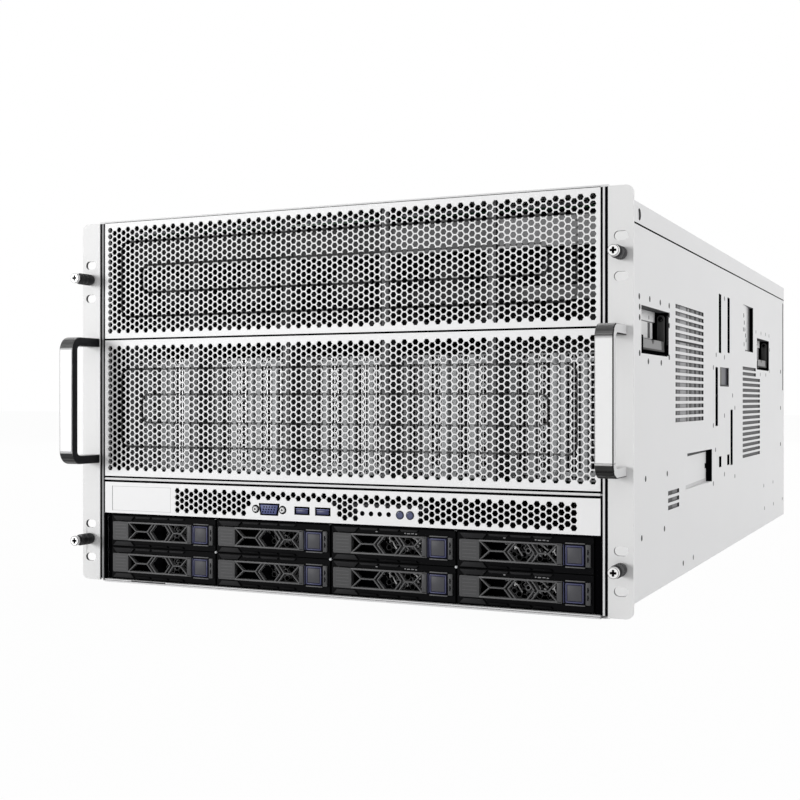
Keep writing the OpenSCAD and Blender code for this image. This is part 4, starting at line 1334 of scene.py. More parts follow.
    def pocket_lining(self, trim: Workpiece, start: float) -> None:
        """Adds the light stepped plates and the black frame inside a grip pocket.

        Args:
            trim: The right wall's trim in the making.
            start: Where the pocket starts on Y.
        """
        end = start + self.pocket_length
        low, high = self.pocket_low, self.pocket_low + self.pocket_height
        back, inner = SIZE.wall_inside - self.pocket_depth + 0.4, SIZE.half_width - 12.4
        step, floor = low + 28.3, low + 14.1
        trim.block((back, start + 18, step), (inner + 2.2, end - 1.6, high - 0.1), ZINC, 0.3)
        trim.block((back, start + 18, floor), (inner + 1.0, end - 5.5, step - 0.5), ZINC, 0.3)
        trim.rod((inner + 1.2, end - 21, floor + 0.6), (inner + 1.2, end - 21, step - 1.0), 1.5, ZINC_DIM, 14)
        trim.block((inner + 2.2, end - 24, step + 1.6), (inner + 2.4, end - 22.6, high - 4), ZINC_DIM)
        trim.block((inner + 12.0, end - 1.2, low + 9), (inner + 12.8, end - 0.6, high - 3), ZINC_DARK, 0.2)
        edge_in, edge_out = SIZE.wall_inside - 7.0, SIZE.half_width + 0.04
        trim.block((edge_in, end - 1.0, low + 0.1), (edge_out, end + 5.0, high - 0.1), VOID)
        trim.block((edge_in, start + 0.02, low + 0.1), (edge_out, start + 6.0, low + 14), VOID)
        trim.block((edge_in, start + 0.1, low - 0.6), (edge_out, end - 0.1, low + 1.4), VOID)
        trim.block((edge_in, start + 0.1, high - 0.6), (edge_out, end - 0.1, high - 0.02), ZINC_DARK, 0.1)

    def wall_seams(self, trim: Workpiece) -> None:
        """Adds the folded seams, the olive board behind the window and the scoops' perforation.

        Args:
            trim: The right wall's trim in the making.
        """
        x = SIZE.wall_inside - 0.1
        trim.block((x - 1.0, 424.0, 168.0), (x, 443.0, 192.0), BOARD_PALE, 0.1)
        trim.block((x - 1.0, 443.0, 168.0), (x, 479.0, 192.0), BOARD_GREY, 0.1)
        outside = SIZE.half_width + 0.04
        trim.block((x, 473.4, 169.4), (outside, 476.6, 189.4), ZINC_DARK)
        trim.block((x, 426.2, 169.4), (outside, 476.6, 171.2), ZINC_DARK)
        trim.block((x, 881.5, 168.7), (outside, 888.4, 286.2), ZINC_DARK)
        # Black backings and cut walls in the slots paint their shadow.
        for y, z, length, height in (
            (426.5, 233.4, 8.0, 64.0), (475.3, 234.1, 8.0, 62.0), (408.5, 158.8, 8.0, 63.0),
            (493.3, 115.5, 8.0, 63.0),
            (427.5, 92.4, 8.0, 15.0), (473.6, 92.4, 8.0, 15.0), (888.0, 227.5, 3.0, 120.0),
        ):
            trim.block((x - 1.0, y - length / 2, z - height / 2), (x, y + length / 2, z + height / 2), VOID)
            for edge in (-1, 1) if length > 4 else ():
                trim.block(
                    (x, y + min(edge * 2.2, edge * 6.6), z + 2.0 - height / 2),
                    (outside, y + max(edge * 2.2, edge * 6.6), z - 2.0 + height / 2),
                    VOID,
                )
        # Tone bands on a backing behind the vents stand for what shows through them, with its light and shade
        # painted in.
        shades = {0.03: ZINC_DARK, 0.1: BACK_DARK, 0.2: BACK_GREY, 0.3: BACK_PALE, 0.6: ZINC}
        near = (
            (0.0, 0.1), (0.09, 0.2), (0.2, 0.3), (0.42, 0.2), (0.475, 0.6), (0.51, 0.1), (0.6, 0.2),
            (0.72, 0.03), (0.76, 0.2), (0.88, 0.03), (0.93, 0.2), (1.0, 0.0),
        )
        low = ((0.0, 0.03), (0.2, 0.1), (0.5, 0.2), (1.0, 0.0))
        far = ((0.0, 0.2), (0.1, 0.1), (0.95, 0.2), (1.0, 0.0))
        for start, run, bottom, top, bands in (
            (218.6, 122.8, 135.0, 240.0, near), (563.4, 122.8, 89.0, 195.0, far),
            (190.3, 43.0, 61.0, 79.0, low),
        ):
            for (share, tone), (until, _) in zip(bands, bands[1:]):
                trim.block(
                    (x - 1.0, start + run * share - 1, bottom),
                    (x, start + run * until + 1, top),
                    shades[tone],
                )
        # Dark discs paint the shade in the holes of the upper scoop's perforation.
        hole = trim.jig()
        hole.lathe([(0.0, 0.1), (2.6, 0.1), (2.65, -0.1)], (0, 0, 0), ZINC_DARK, Along.X, 8)
        spots = [
            (574.0, 251.0), (579.0, 243.0), (585.0, 235.5), (592.0, 229.0), (570.0, 235.0), (577.0, 218.5),
            (598.0, 224.0),
        ]
        trim.place(hole, [(SIZE.half_width - (y - 561.4) * 4.0 / 74.0, y, z) for y, z in spots])
        # Strips on the scoop beds paint their shade and lit edge: dark lines, a pale strip and a darkening
        # towards the end wall.
        face = SIZE.half_width
        for (start, end, low, _), deep, bands in (
            (
                self.scoops[0],
                6.0,
                (
                    (0.15, 1.0, 29.3, 31.9, ZINC_DARK), (0.08, 1.0, 0.1, 3.4, BACK_LIGHT),
                    (0.94, 0.995, 13.0, 18.0, VOID),
                ),
            ),
            (
                self.scoops[1],
                4.0,
                (
                    (0.5, 0.66, 0.1, 51.9, BACK_LIGHT), (0.66, 0.82, 0.1, 51.9, BACK_GREY),
                    (0.82, 0.99, 0.1, 51.9, ZINC_DARK), (0.38, 0.99, 0.1, 1.6, ZINC_DARK),
                ),
            ),
        ):
            for near, far, bottom, top, finish in bands:
                a, b = (start + (end - start) * share for share in (near, far))
                drops = [deep * share for share in (near, far)]
                outline = [
                    (face - drops[0] + 0.12, a), (face - drops[1] + 0.12, b), (face - drops[1] - 0.1, b),
                    (face - drops[0] - 0.1, a),
                ]
                trim.prism(outline, Along.Z, low + bottom, low + top, finish)

    def top_cover(self) -> None:
        """Builds the cover with its seam, screws and pressed stiffeners."""
        piece = Workpiece()

        def tone(centre: Vector, normal: Vector) -> Finish | None:
            """Paints shade on the cut edges behind the front of the cover's sides."""
            near = 86 < centre.y < 96 and centre.z < 304
            return EDGE_SHADE if near and abs(normal.x) < 0.9 else None

        piece.copy_node("top_cover", ZINC, 0.25, tone=tone)
        top = SIZE.height
        screw = piece.jig()
        screw.lathe([(0.0, 0.0), (2.6, 0.0), (3.4, -0.25), (3.5, -0.4)], (0, 0, 0), SCREW, Along.Z, 20)
        for turn in (0.0, 90.0):
            cross = Matrix.Rotation(math.radians(turn), 4, "Z")
            slot = screw.jig()
            slot.block((-1.9, -0.3, -0.02), (1.9, 0.3, 0.01), VOID)
            screw.place(slot, [cross])
        piece.place(screw, [(x, y, top - 0.01) for x in (-205, 0, 205) for y in (14, 448, 884)])
        # The pressed stiffeners are drawn as dim lines, their painted shade.
        for x in (-210.0, 210.0):
            piece.block((x - 0.25, 20, top - 0.02), (x + 0.25, 875, top), ZINC_DIM)
        piece.block((-SIZE.panel_half, 0.05, 306.25), (SIZE.panel_half, 0.4, 306.75), VOID)
        for side in (-1, 1):
            piece.block((side * 220.6 - 0.3, 84, top - 15), (side * 220.6 + 0.3, 98, top - 3), VOID)
        piece.done("top_lid", "chassis", ["top_cover"])

    def bay_frame(self) -> None:
        """Builds the shelves and pillars behind the front panels."""
        piece = Workpiece()

        def tone(centre: Vector, normal: Vector) -> Finish | None:
            """Keeps the shelf's front edge bright and paints shade inside: near black on faces turned to +X
            near the front, darker on the left half of the upper shelf and deeper in, dim elsewhere.
            """
            if centre.y < 4:
                return None
            if centre.y < 32 and SIZE.shelf_low + 1 < centre.z:
                if normal.x > 0.5:
                    return SHADE_BLACK
                if centre.z > SIZE.shelf_high:
                    return ZINC_DARK if centre.x < 0 else ZINC_DIM
                return ZINC_DIM
            return ZINC_DARK

        piece.copy_node("bay_frame", ZINC, 0.15, tone=tone)
        wide = SIZE.panel_half
        for low, high in ((206.35, 207.85), (85.5, 87.1), (89.1, 90.6), (57.9, 59.15)):
            piece.block((-wide, -0.03, low), (wide, 0.6, high), VOID)
        for side in (-1, 1):
            for near, far in ((wide + 0.05, wide + 1.65), (wide + 3.25, SIZE.half_width - 0.05)):
                left, right = sorted((side * near, side * far))
                piece.block((left, 0.8, 2.6), (right, 3.9, 306.3), VOID)
        piece.block((-220.8, 0.1, 2.6), (-219.1, 0.6, 306.3), ZINC_MARK_AND_GLINT)
        # Black sheets behind the left ends of the middle and upper meshes paint the left handle's shadow.
        piece.block((-216.5, 6.0, 92.0), (-199.0, 7.5, 206.0), VOID)
        piece.block((-216.5, 6.0, 209.0), (-199.0, 7.5, 305.0), VOID)
        piece.done("shelf_frame", "chassis", ["bay_frame"])

    def rear_panel(self) -> None:
        """Builds the rear panel with slot covers, sockets and screws."""
        piece = Workpiece()
        piece.copy_node("rear_panel", ZINC, 0.15)
        rear = SIZE.depth
        for i in range(7):
            x = -40 + i * 20.32
            piece.block((x - 5.6, rear - 1.3, 10), (x + 5.6, rear - 0.5, 79), ZINC_INSIDE, 0.3)
            vent = piece.jig()
            vent.lathe([(0.0, 0.04), (1.5, 0.04), (1.55, 0.0)], (0, 0, 0), VOID, Along.Y, 8)
            piece.place(vent, [(x + dx, rear - 0.51, 16 + j * 5.2) for dx in (-2.6, 2.6) for j in range(12)])
            piece.rod((x, rear - 0.6, 84.5), (x, rear + 0.9, 84.5), 2.3, SCREW, 6, 0.3)
        for x in (132, 151):
            for z in (20, 48):
                piece.block((x - 7.2, rear - 8.0, z - 6.2), (x + 7.2, rear - 1.4, z + 6.2), DARK_METAL, 0.4)
                piece.block((x - 5.4, rear - 1.5, z - 4.2), (x + 5.4, rear - 1.2, z + 3.2), VOID, 0.1)
                piece.block((x - 7.3, rear - 1.5, z - 6.3), (x + 7.3, rear - 1.0, z - 5.3), BRIGHT, 0.2)
                piece.block((x - 7.3, rear - 1.5, z + 5.3), (x + 7.3, rear - 1.0, z + 6.3), BRIGHT, 0.2)
                piece.block((x - 4.0, rear - 1.25, z - 3.6), (x + 4.0, rear - 1.15, z - 2.4), BRIGHT, 0.05)
        screw = piece.jig()
        screw.lathe([(0.0, 1.1), (1.9, 1.1), (2.8, 0.6), (2.9, 0.0)], (0, 0, 0), SCREW, Along.Y, 20)
        screw.block((-1.8, 1.05, -0.25), (1.8, 1.15, 0.25), VOID)
        screw.block((-0.25, 1.05, -1.8), (0.25, 1.15, 1.8), VOID)
        spots = [(x, z) for x in (-214, 214) for z in (98, 150, 202, 255)]
        spots += [(x, 301) for x in (-172, -86, 0, 86, 172)]
        piece.place(screw, [(x, rear - 0.02, z) for x, z in spots])
        piece.done("rear_sheet", "chassis", ["rear_panel"])


# ---- ears, handles and captive screws -----------------------------------------------


@dataclass
class RackEars:
    """The two rack ears and what is fixed to them."""

    def build(self) -> None:
        """Builds both ears."""
        piece = Workpiece()

        def tone(centre: Vector, normal: Vector) -> Finish | None:
            """Paints shade on the cut edges of the slots."""
            inside = 227.0 < abs(centre.x) < 238.5 and 10 < centre.z < 290 and 0.1 < centre.y < 2.4
            return EDGE_SHADE if inside and abs(normal.y) < 0.5 else None

        piece.copy_node("rack_ears", EAR_COAT_AND_GLINT, 0.2, 1, tone=tone)
        for side in (-1, 1):
            for z in (112.0, 197.6):
                piece.rod((side * 229.9, 2.4, z), (side * 229.9, 4.4, z), 4.2, SCREW, 24, 0.8)
        piece.done("rack_ear_plates", "chassis", ["rack_ears"])


@dataclass
class Handles:
    """The two bar handles, bent from one flat bar each."""

    reach: float = 36.0
    height: float = 106.8
    middle: float = 154.8
    width: float = 13.4
    thickness: float = 7.3
    outer_radius: float = 11.0
    inner_x: float = 223.2
    edge: float = 0.8

    def bar(self) -> Mesh:
        """Sweeps the right handle's section along arm, corner, grip, corner and arm."""
        part = bmesh.new()
        x0, x1 = self.inner_x, self.inner_x + self.width
        low, high = self.middle - self.height / 2, self.middle + self.height / 2
        corners = [(x0, 0, low), (x1, 0, low), (x1, 0, low + self.thickness), (x0, 0, low + self.thickness)]
        start = part.faces.new([part.verts.new(corner) for corner in corners])
        arm = self.outer_radius - self.reach

        def pull(shift: Point) -> None:
            """Extrudes the far end and moves it."""
            grown = bmesh.ops.extrude_face_region(part, geom=[ends[-1]])["geom"]
            bmesh.ops.translate(part, vec=shift, verts=moving_verts(grown))
            ends.append(next(f for f in grown if isinstance(f, bmesh.types.BMFace)))

        def bend(centre_z: float, steps: int = 10) -> None:
            """Turns the far end through a quarter, step by step."""
            for _ in range(steps):
                pull((0.0, 0.0, 0.0))
                bmesh.ops.rotate(
                    part,
                    cent=(0.0, arm, centre_z),
                    matrix=Matrix.Rotation(-math.pi / 2 / steps, 3, "X"),
                    verts=ends[-1].verts[:],
                )

        ends = [start]
        pull((0.0, arm, 0.0))
        bend(low + self.outer_radius)
        pull((0.0, 0.0, self.height - 2 * self.outer_radius))
        bend(high - self.outer_radius)
        pull((0.0, -arm, 0.0))
        bmesh.ops.recalc_face_normals(part, faces=part.faces)
        return part

    def build(self) -> None:
        """Builds both handles."""
        piece = Workpiece()
        one = piece.jig()
        part = self.bar()
        Workpiece.round_edges(part, self.edge, Along.ALL, 3, 60.0)
        part.normal_update()
        # Each face's tone comes from its direction: painted reflection on the front, back and bends by their
        # upward lean, painted shade on the inner sides and on outer-edge faces turned to the front or down,
        # painted light on the outer sides.
        for face in part.faces:
            across, forward = face.normal.x, -face.normal.y
            if across < -0.9:
                finish = HANDLE_SHADE
            elif across > 0.97:
                finish = HANDLE_LIT_SIDE
            elif across > 0.2 and face.calc_center_median().x > self.inner_x + self.width - self.edge:
                finish = HANDLE_SHADE if forward > 0.2 or face.normal.z < -0.2 else HANDLE_LIT_SIDE
            else:
                finish = next(tone for limit, tone in BAR_REFLECTIONS if face.normal.z < limit)
            face.material_index = one._slot_of(finish)
        one.add(part)
        piece.place(one, [Matrix.Identity(4), mirrored()])
        piece.done("bar_handles", "chassis", ["front_handles"])


@dataclass
class CaptiveScrews:
    """The four captive screws of the ears."""

    heights: tuple[float, float] = (36.3, 258.57)

    def build(self) -> None:
        """Builds the four screws."""
        for k in range(1, 5):
            x = SIZE.rack_x * (1 if k > 2 else -1)
            z = self.heights[(k - 1) % 2]
            piece = Workpiece()
            head = [
                (0.0, -21.9), (3.6, -21.9), (4.1, -21.5), (4.25, -20.9), (4.25, -19.6), (3.9, -19.3),
                (0.0, -19.3),
            ]
            piece.lathe(head, (x, 0, z), SCREW_HEAD, steps=32)
            # A dark ring round the head's rim and a near-black cross paint the shade of its edge and of its
            # recess.
            rim = [(3.75, -21.93), (3.95, -21.93), (3.95, -21.6), (3.75, -21.6)]
            piece.lathe(rim, (x, 0, z), DARK_METAL, steps=32)
            for dx, dz in ((0, 0), (0, 1.5), (0, -1.5), (1.5, 0), (-1.5, 0)):
                left, low, side = x + dx - 0.85, z + dz - 0.85, 1.7
                piece.block((left, -21.95, low), (left + side, -21.4, low + side), VOID, 0.3, Along.Y)
            sleeve = [
                (0.0, -19.4), (2.9, -19.4), (2.9, -15.4), (4.3, -14.8), (4.5, -0.8), (4.2, -0.4), (0.0, -0.4)
            ]
            piece.lathe(sleeve, (x, 0, z), KNURL, steps=32)
            knurl = piece.jig()
            knurl.block((4.3, -13.6, -0.3), (4.75, -8.6, 0.3), KNURL, 0.12)
            knurl.block((4.4, -7.6, -0.3), (4.8, -1.6, 0.3), KNURL, 0.12)
            piece.rod((x, -15.0, z), (x, -14.0, z), 4.75, KNURL, 32, 0.3)
            piece.place(knurl, turned((x, 0, z), 20))
            piece.rod((x, -1.0, z), (x, 9.5, z), 2.5, SCREW, 24, 0.4)
            piece.rod((x, 1.3, z), (x, 2.5, z), 4.1, SCREW, 24, 0.2)
            piece.done(f"captive_screw_{k}", f"thumbscrew_{k}", [f"thumbscrew_{k}"])


# ---- drive bays -----------------------------------------------------------------------


@dataclass
class DriveBays:
    """The drive cage with its eight carriers, levers and release buttons."""

    columns: int = 4
    step: float = 106.4
    rows: tuple[float, float] = (44.0, 16.9)
    carrier_width: float = 104.8
    carrier_height: float = 26.6
    front: float = 1.0
    lever_half: float = 7.95
    pad: tuple[float, float] = (-50.2, -34.4)
    lattice: tuple[float, float] = (-34.2, 25.3)
    lever_right: float = 29.3
    pin: tuple[float, float] = (-46.4, 4.2)
    release_x: float = 38.7
    release_half: tuple[float, float] = (7.0, 7.3)
    strip: tuple[float, float] = (46.8, 50.4)
    tabs: tuple[tuple[float, float], ...] = ((-19.6, 16.2), (-2.2, 17.2), (14.6, 15.2))
    net_shift: tuple[float, ...] = (10.7, 7.3, 3.9, 0.0)

    def centre(self, k: int) -> tuple[float, float]:
        """Gives the middle of a bay on X and Z, upper row first."""
        column, row = (k - 1) % self.columns, (k - 1) // self.columns
        return (column + 0.5 - self.columns / 2) * self.step, self.rows[row]

    def build(self) -> None:
        """Builds the cage and everything in it."""
        cage = Workpiece()

        def tone(centre: Vector, normal: Vector) -> Finish | None:
            """Tells the backplane and the inside from the front of the cage; the inside is painted in
            near-black shade.
            """
            if centre.y > 187.02:
                return BOARD
            return SHADE_BLACK if centre.y > 60 else None

        cage.copy_node("drive_cage", VOID, 0.12, tone=tone)
        pin = cage.jig()
        pin.lathe([(0.0, -0.9), (0.7, -0.9), (1.0, -0.6), (1.05, 4.0)], (0, 0, 0), CARD, steps=14)
        places = [(i - self.columns / 2) * self.step for i in range(1, self.columns)]
        cage.place(pin, [(x, 2.3, sum(self.rows) / 2) for x in places])
        for x in places:
            cage.block((x - 0.9, 1.2, 57.6), (x + 0.9, 2.2, 58.3), CARD, 0.1)
        cage.done("bay_cage", "chassis", ["drive_cage"])
        for k in range(1, 2 * self.columns + 1):
            self.carrier(k)
            self.lever(k)
            self.release(k)

    def tab(self, piece: Workpiece, x: float, width: float, side: int, finish: Finish, near: float) -> None:
        """Adds a trapezoid tab over or under the lever, wide side outwards.

        Args:
            piece: The carrier in the making.
            x: Middle of the tab.
            width: Its width at the wide side.
            side: 1 for above, -1 for below.
            finish: Its finish.
            near: Distance of its narrow side from the middle.
        """
        far, slant = 12.55, (12.55 - near) * 0.9
        outline = [
            (x - width / 2, side * far),
            (x + width / 2, side * far),
            (x + width / 2 - slant, side * near),
            (x - width / 2 + slant, side * near),
        ]
        piece.prism(outline, Along.Y, self.front, self.front + 1.6, finish, 0.2)

    def carrier(self, k: int) -> None:
        """Builds one carrier: bezel, tabs, light strip, rails and the drive.

        Args:
            k: Number of the carrier.
        """
        x, z = self.centre(k)
        piece = Workpiece()
        one = piece.jig()
        half_w, half_h = self.carrier_width / 2, self.carrier_height / 2
        face, back = self.front + 1.5, self.front + 14.0
        pocket = self.lever_half + 0.35
        left, right = self.pad[0] - 0.4, self.lever_right + 0.4
        key = (self.release_x - self.release_half[0] - 0.3, self.release_x + self.release_half[0] + 0.3)
        for low, high in (
            ((-half_w, pocket), (half_w, half_h)),
            ((-half_w, -half_h), (half_w, -pocket)),
            ((-half_w, -pocket), (left, pocket)),
            ((right, -pocket), (key[0], pocket)),
            ((key[1], -pocket), (half_w, pocket)),
        ):
            one.block((low[0], face, low[1]), (high[0], back, high[1]), CARRIER, 0.2)
        one.block((left, back - 2.2, -pocket), (key[1], back - 1.4, pocket), VOID)
        for side in (-1, 1):
            one.block(
                (key[0] + 0.3, self.front, side * 8.6 - 0.42),
                (key[1] + 0.3, face + 0.5, side * 8.6 + 0.42),
                LEVER_RIB_AND_GLINT,
                0.15,
            )
            self.tab(one, -39.4, 21.6, side, CARRIER_TAB, self.lever_half + 0.9)
            # The upper tabs take the lighter tab grey and the lower ones the carrier's black: painted light
            # from above.
            for place, width in self.tabs:
                self.tab(one, place, width, side, CARRIER_TAB if side > 0 else CARRIER, 10.9)
            one.block((side * 51.7 - 0.7, 15.0, -11.0), (side * 51.7 + 0.7, 167.0, 11.0), DARK_METAL, 0.3)
            screw = one.jig()
            screw.lathe([(0.0, side * 0.1), (1.6, side * 0.1), (1.9, 0.0)], (0, 0, 0), BRIGHT, Along.X, 14)
            one.place(screw, [(side * 52.3, y, -6.0) for y in (45, 100, 145)])
        one.block((right + 0.55, self.front + 0.6, -7.4), (right + 0.85, face + 0.2, 7.4), RELEASE_LINE)
        one.block((self.strip[0], self.front, -8.1), (self.strip[1], self.front + 2.6, 8.1), LEVER, 0.25)
        for lamp in (-2.7, 2.7):
            for left, right, proud, half in ((48.0, 49.0, 0.05, 1.9), (48.6, 49.4, 0.07, 0.5)):
                one.block(
                    (left, self.front - proud, lamp - half), (right, self.front + 0.1, lamp + half), CARRIER
                )
        self.net(one, k)
        one.block((-50.8, 20.0, -13.0), (50.8, 167.0, 13.0), SUPPLY, 0.8, Along.ALL, 3)
        piece.place(one, [(x, 0.0, z)])
        piece.done(f"drive_tray_{k}", f"carrier_{k}", [f"carrier_{k}"])

    def net(self, one: Workpiece, k: int) -> None:
        """Adds the honeycomb air guide behind the lattice, with painted highlights on its webs.

        Args:
            one: The carrier in the making.
            k: Number of the carrier.
        """
        column = (k - 1) % self.columns
        shift, depth, pitch = self.net_shift[column], self.front + 10.5, 2.3
        limits = (self.lattice[0] + 1.0, self.lever_right - 1.5)

        def web(places: Sequence[Point], width: float, finish: Finish, front: float) -> None:
            """Adds a chain of thin webs, kept inside the lever's window."""
            spots = [(px + shift, pz) for px, pz in places]
            for a, b in zip(spots, spots[1:]):
                if limits[0] < min(a[0], b[0]) and max(a[0], b[0]) < limits[1]:
                    one.bar(a, b, width, front, front + 1.2, finish)

        left, right = max(-11.5 + shift, limits[0]), min(20.5 + shift, limits[1])
        one.block((left, depth + 1.3, -7.4), (right, depth + 1.5, 7.4), NET)
        for i in range(-3, 6):
            for j in range(-2, 3):
                cx, cz = i * pitch * 1.732 + 1.0, (j + (i % 2) / 2) * pitch * 2 - 0.6
                if abs(cz) < 6.6:
                    turns = (math.pi * n / 3 for n in range(7))
                    corners = [(cx + pitch * math.cos(turn), cz + pitch * math.sin(turn)) for turn in turns]
                    web(corners[(0 if j % 2 else 3):], 0.5, NET_EDGE, depth + 0.2)
        # glint and dim are painted highlights on the webs, brighter in the two right columns, in finishes
        # borrowed from the ear, the zinc marks and the lever's ribs.
        glint, dim = (EAR_COAT_AND_GLINT, ZINC_MARK_AND_GLINT) if column > 1 else (ZINC_DIM, LEVER_RIB_AND_GLINT)
        turns = (math.tau * n / 6 for n in range(7))
        ring = [(0.2 + 2.0 * math.cos(turn), 0.2 + 2.0 * math.sin(turn)) for turn in turns]
        for width, finish, chain in (
            (1.0, glint, [(-9.3, 6.2), (-10.6, 4.2), (-9.8, 2.6), (-10.4, 0.9)]),
            (1.0, glint, [(-9.8, 2.6), (-7.6, 1.6), (-6.6, -0.6), (-5.6, -1.8), (-4.4, -3.8)]),
            (1.1, glint, [(8.2, 6.6), (9.6, 5.2), (11.8, 4.4), (13.4, 2.6), (15.6, 1.2)]),
            (0.8, dim, [(11.8, 4.4), (13.6, 6.0), (15.4, 4.4)]),
            (1.0, glint, [(21.0, 3.4), (20.0, 0.6), (21.6, -2.2)]),
            (0.9, glint, [(18.8, 0.2), (20.0, 0.6)]),
            (0.7, dim, [(16.2, -5.4), (17.4, -3.4), (19.0, -5.6)]),
            (0.7, dim, [(-18.4, 6.0), (-17.2, 4.2), (-15.4, 4.8), (-14.6, 3.0)]),
            (0.7, dim, ring),
            (0.8, dim, [(-3.0, 5.4), (-1.6, 3.6), (-3.4, 2.4), (-1.8, 0.8)]),
            (0.8, dim, [(4.2, -2.2), (5.8, -3.6), (4.6, -5.4)]),
            (0.9, dim, [(8.6, 2.0), (9.8, 0.2), (8.4, -1.8), (10.0, -3.4)]),
            (0.9, glint, [(12.6, 0.4), (14.2, -0.8), (13.0, -2.6)]),
        ):
            web(chain, width, finish, depth)
        # Painted highlights: small light dashes above the lever window in the two right columns.
        if column > 1:
            for px, pz, length in (
                (8.4, 9.35, 1.2), (10.6, 9.2, 2.6), (14.2, 9.3, 2.2), (17.4, 9.1, 1.6), (-16.0, 9.6, 1.6)
            ):
                one.block(
                    (px + shift / 2, self.front + 1.42, pz),
                    (px + shift / 2 + length, self.front + 1.6, pz + 0.7),
                    dim,
                )

    def lever(self, k: int) -> None:
        """Builds one lever: pad, rails, lattice and hinge pin.

        Args:
            k: Number of the carrier.
        """
        x, z = self.centre(k)
        piece = Workpiece()
        one = piece.jig()
        half, front, back = self.lever_half, self.front, self.front + 5.0
        one.block((self.pad[0], front, -half), (self.pad[1], front + 2.4, half), LEVER, 0.3, Along.ALL, 2)
        one.block(
            (self.pin[0] + 1.2, front + 2.0, -half + 0.3), (self.pad[1] - 0.1, back, half - 0.3), LEVER, 0.2
        )
        one.block(
            (self.pad[0] + 0.05, front - 0.03, -half + 0.9),
            (self.pad[0] + 0.5, front + 0.2, half - 0.9),
            LEVER_RIB_AND_GLINT,
        )
        for i in range(5):
            level = -half + 2.6 + i * (half * 2 - 5.2) / 4
            one.block(
                (self.pad[0] + 2.4, front - 0.04, level - 0.16),
                (self.pad[1] - 2.2, front + 0.1, level + 0.16),
                LEVER_RIB_AND_GLINT,
            )
        for side in (-1, 1):
            rail = side * (half - 0.65)
            one.block(
                (self.pad[1] - 0.4, front, rail - 0.65),
                (self.lever_right, back, rail + 0.65),
                LEVER_RIB_AND_GLINT,
                0.25,
            )
        one.block((self.lattice[1], front, -half + 0.3), (self.lever_right, back, half - 0.3), LEVER, 0.3)
        for chain in self.lattice_chains():
            for a, b in zip(chain, chain[1:]):
                one.bar(a, b, 1.05, front + 0.15, back - 1.2, LEVER_RIB_AND_GLINT)
        for end, radius, sides, rounding in ((half + 1.4, 1.2, 16, 0.2), (half - 0.2, 2.5, 20, 0.3)):
            one.rod((*self.pin, -end), (*self.pin, end), radius, LEVER, sides, rounding)
        piece.place(one, [(x, 0.0, z)])
        piece.done(f"latch_lever_{k}", f"lever_{k}", [f"lever_{k}"])

    def lattice_chains(self) -> list[list[Point]]:
        """Gives the corner points of each chain of ribs on X and Z."""
        (left, right), half = self.lattice, self.lever_half - 1.0
        return [
            [(left, half), (left + 7.8, 0), (left, -half)],
            [(left + 7.8, 0), (left + 18.9, 0)],
            [(left + 24.8, half), (left + 18.9, 0), (left + 24.8, -half)],
            [(left + 28.0, half), (left + 22.1, 0), (left + 28.0, -half)],
            [(right - 22.7, half), (right - 17.3, 0), (right - 22.7, -half)],
            [(right - 19.1, half), (right - 13.9, 0), (right - 19.1, -half)],
            [(right - 13.9, 0), (right - 6.6, 0)],
            [(right, half), (right - 6.6, 0), (right, -half)],
        ]

    def release(self, k: int) -> None:
        """Builds one release button with its tinted outline.

        Args:
            k: Number of the carrier.
        """
        x, z = self.centre(k)
        piece = Workpiece()
        one = piece.jig()
        half_x, half_z = self.release_half
        low, high, front = self.release_x - half_x, self.release_x + half_x, self.front - 0.3
        one.block((low, front + 0.3, -half_z), (high, self.front + 7.0, half_z), RELEASE_DARK, 0.3)
        for side in (-1, 1):
            level = side * (half_z - 0.75)
            one.block(
                (low + 0.4, front, level - 0.36), (high - 0.4, front + 0.5, level + 0.36), RELEASE_LINE, 0.1
            )
            place = self.release_x + side * (half_x - 0.75)
            one.block(
                (place - 0.36, front, -half_z + 0.5),
                (place + 0.36, front + 0.5, half_z - 0.5),
                RELEASE_LINE,
                0.1,
            )
        one.block(
            (low + 1.7, front + 0.1, -half_z + 1.7), (high - 1.7, front + 0.6, half_z - 1.7), RELEASE, 0.2
        )
        one.rod(
            (self.release_x, self.front + 6.0, 0), (self.release_x, self.front + 14.0, 0), 1.2, RELEASE, 16
        )
        piece.place(one, [(x, 0.0, z)])
        piece.done(f"release_key_{k}", f"release_{k}", [f"release_{k}"])


# ---- fan row ----------------------------------------------------------------------------


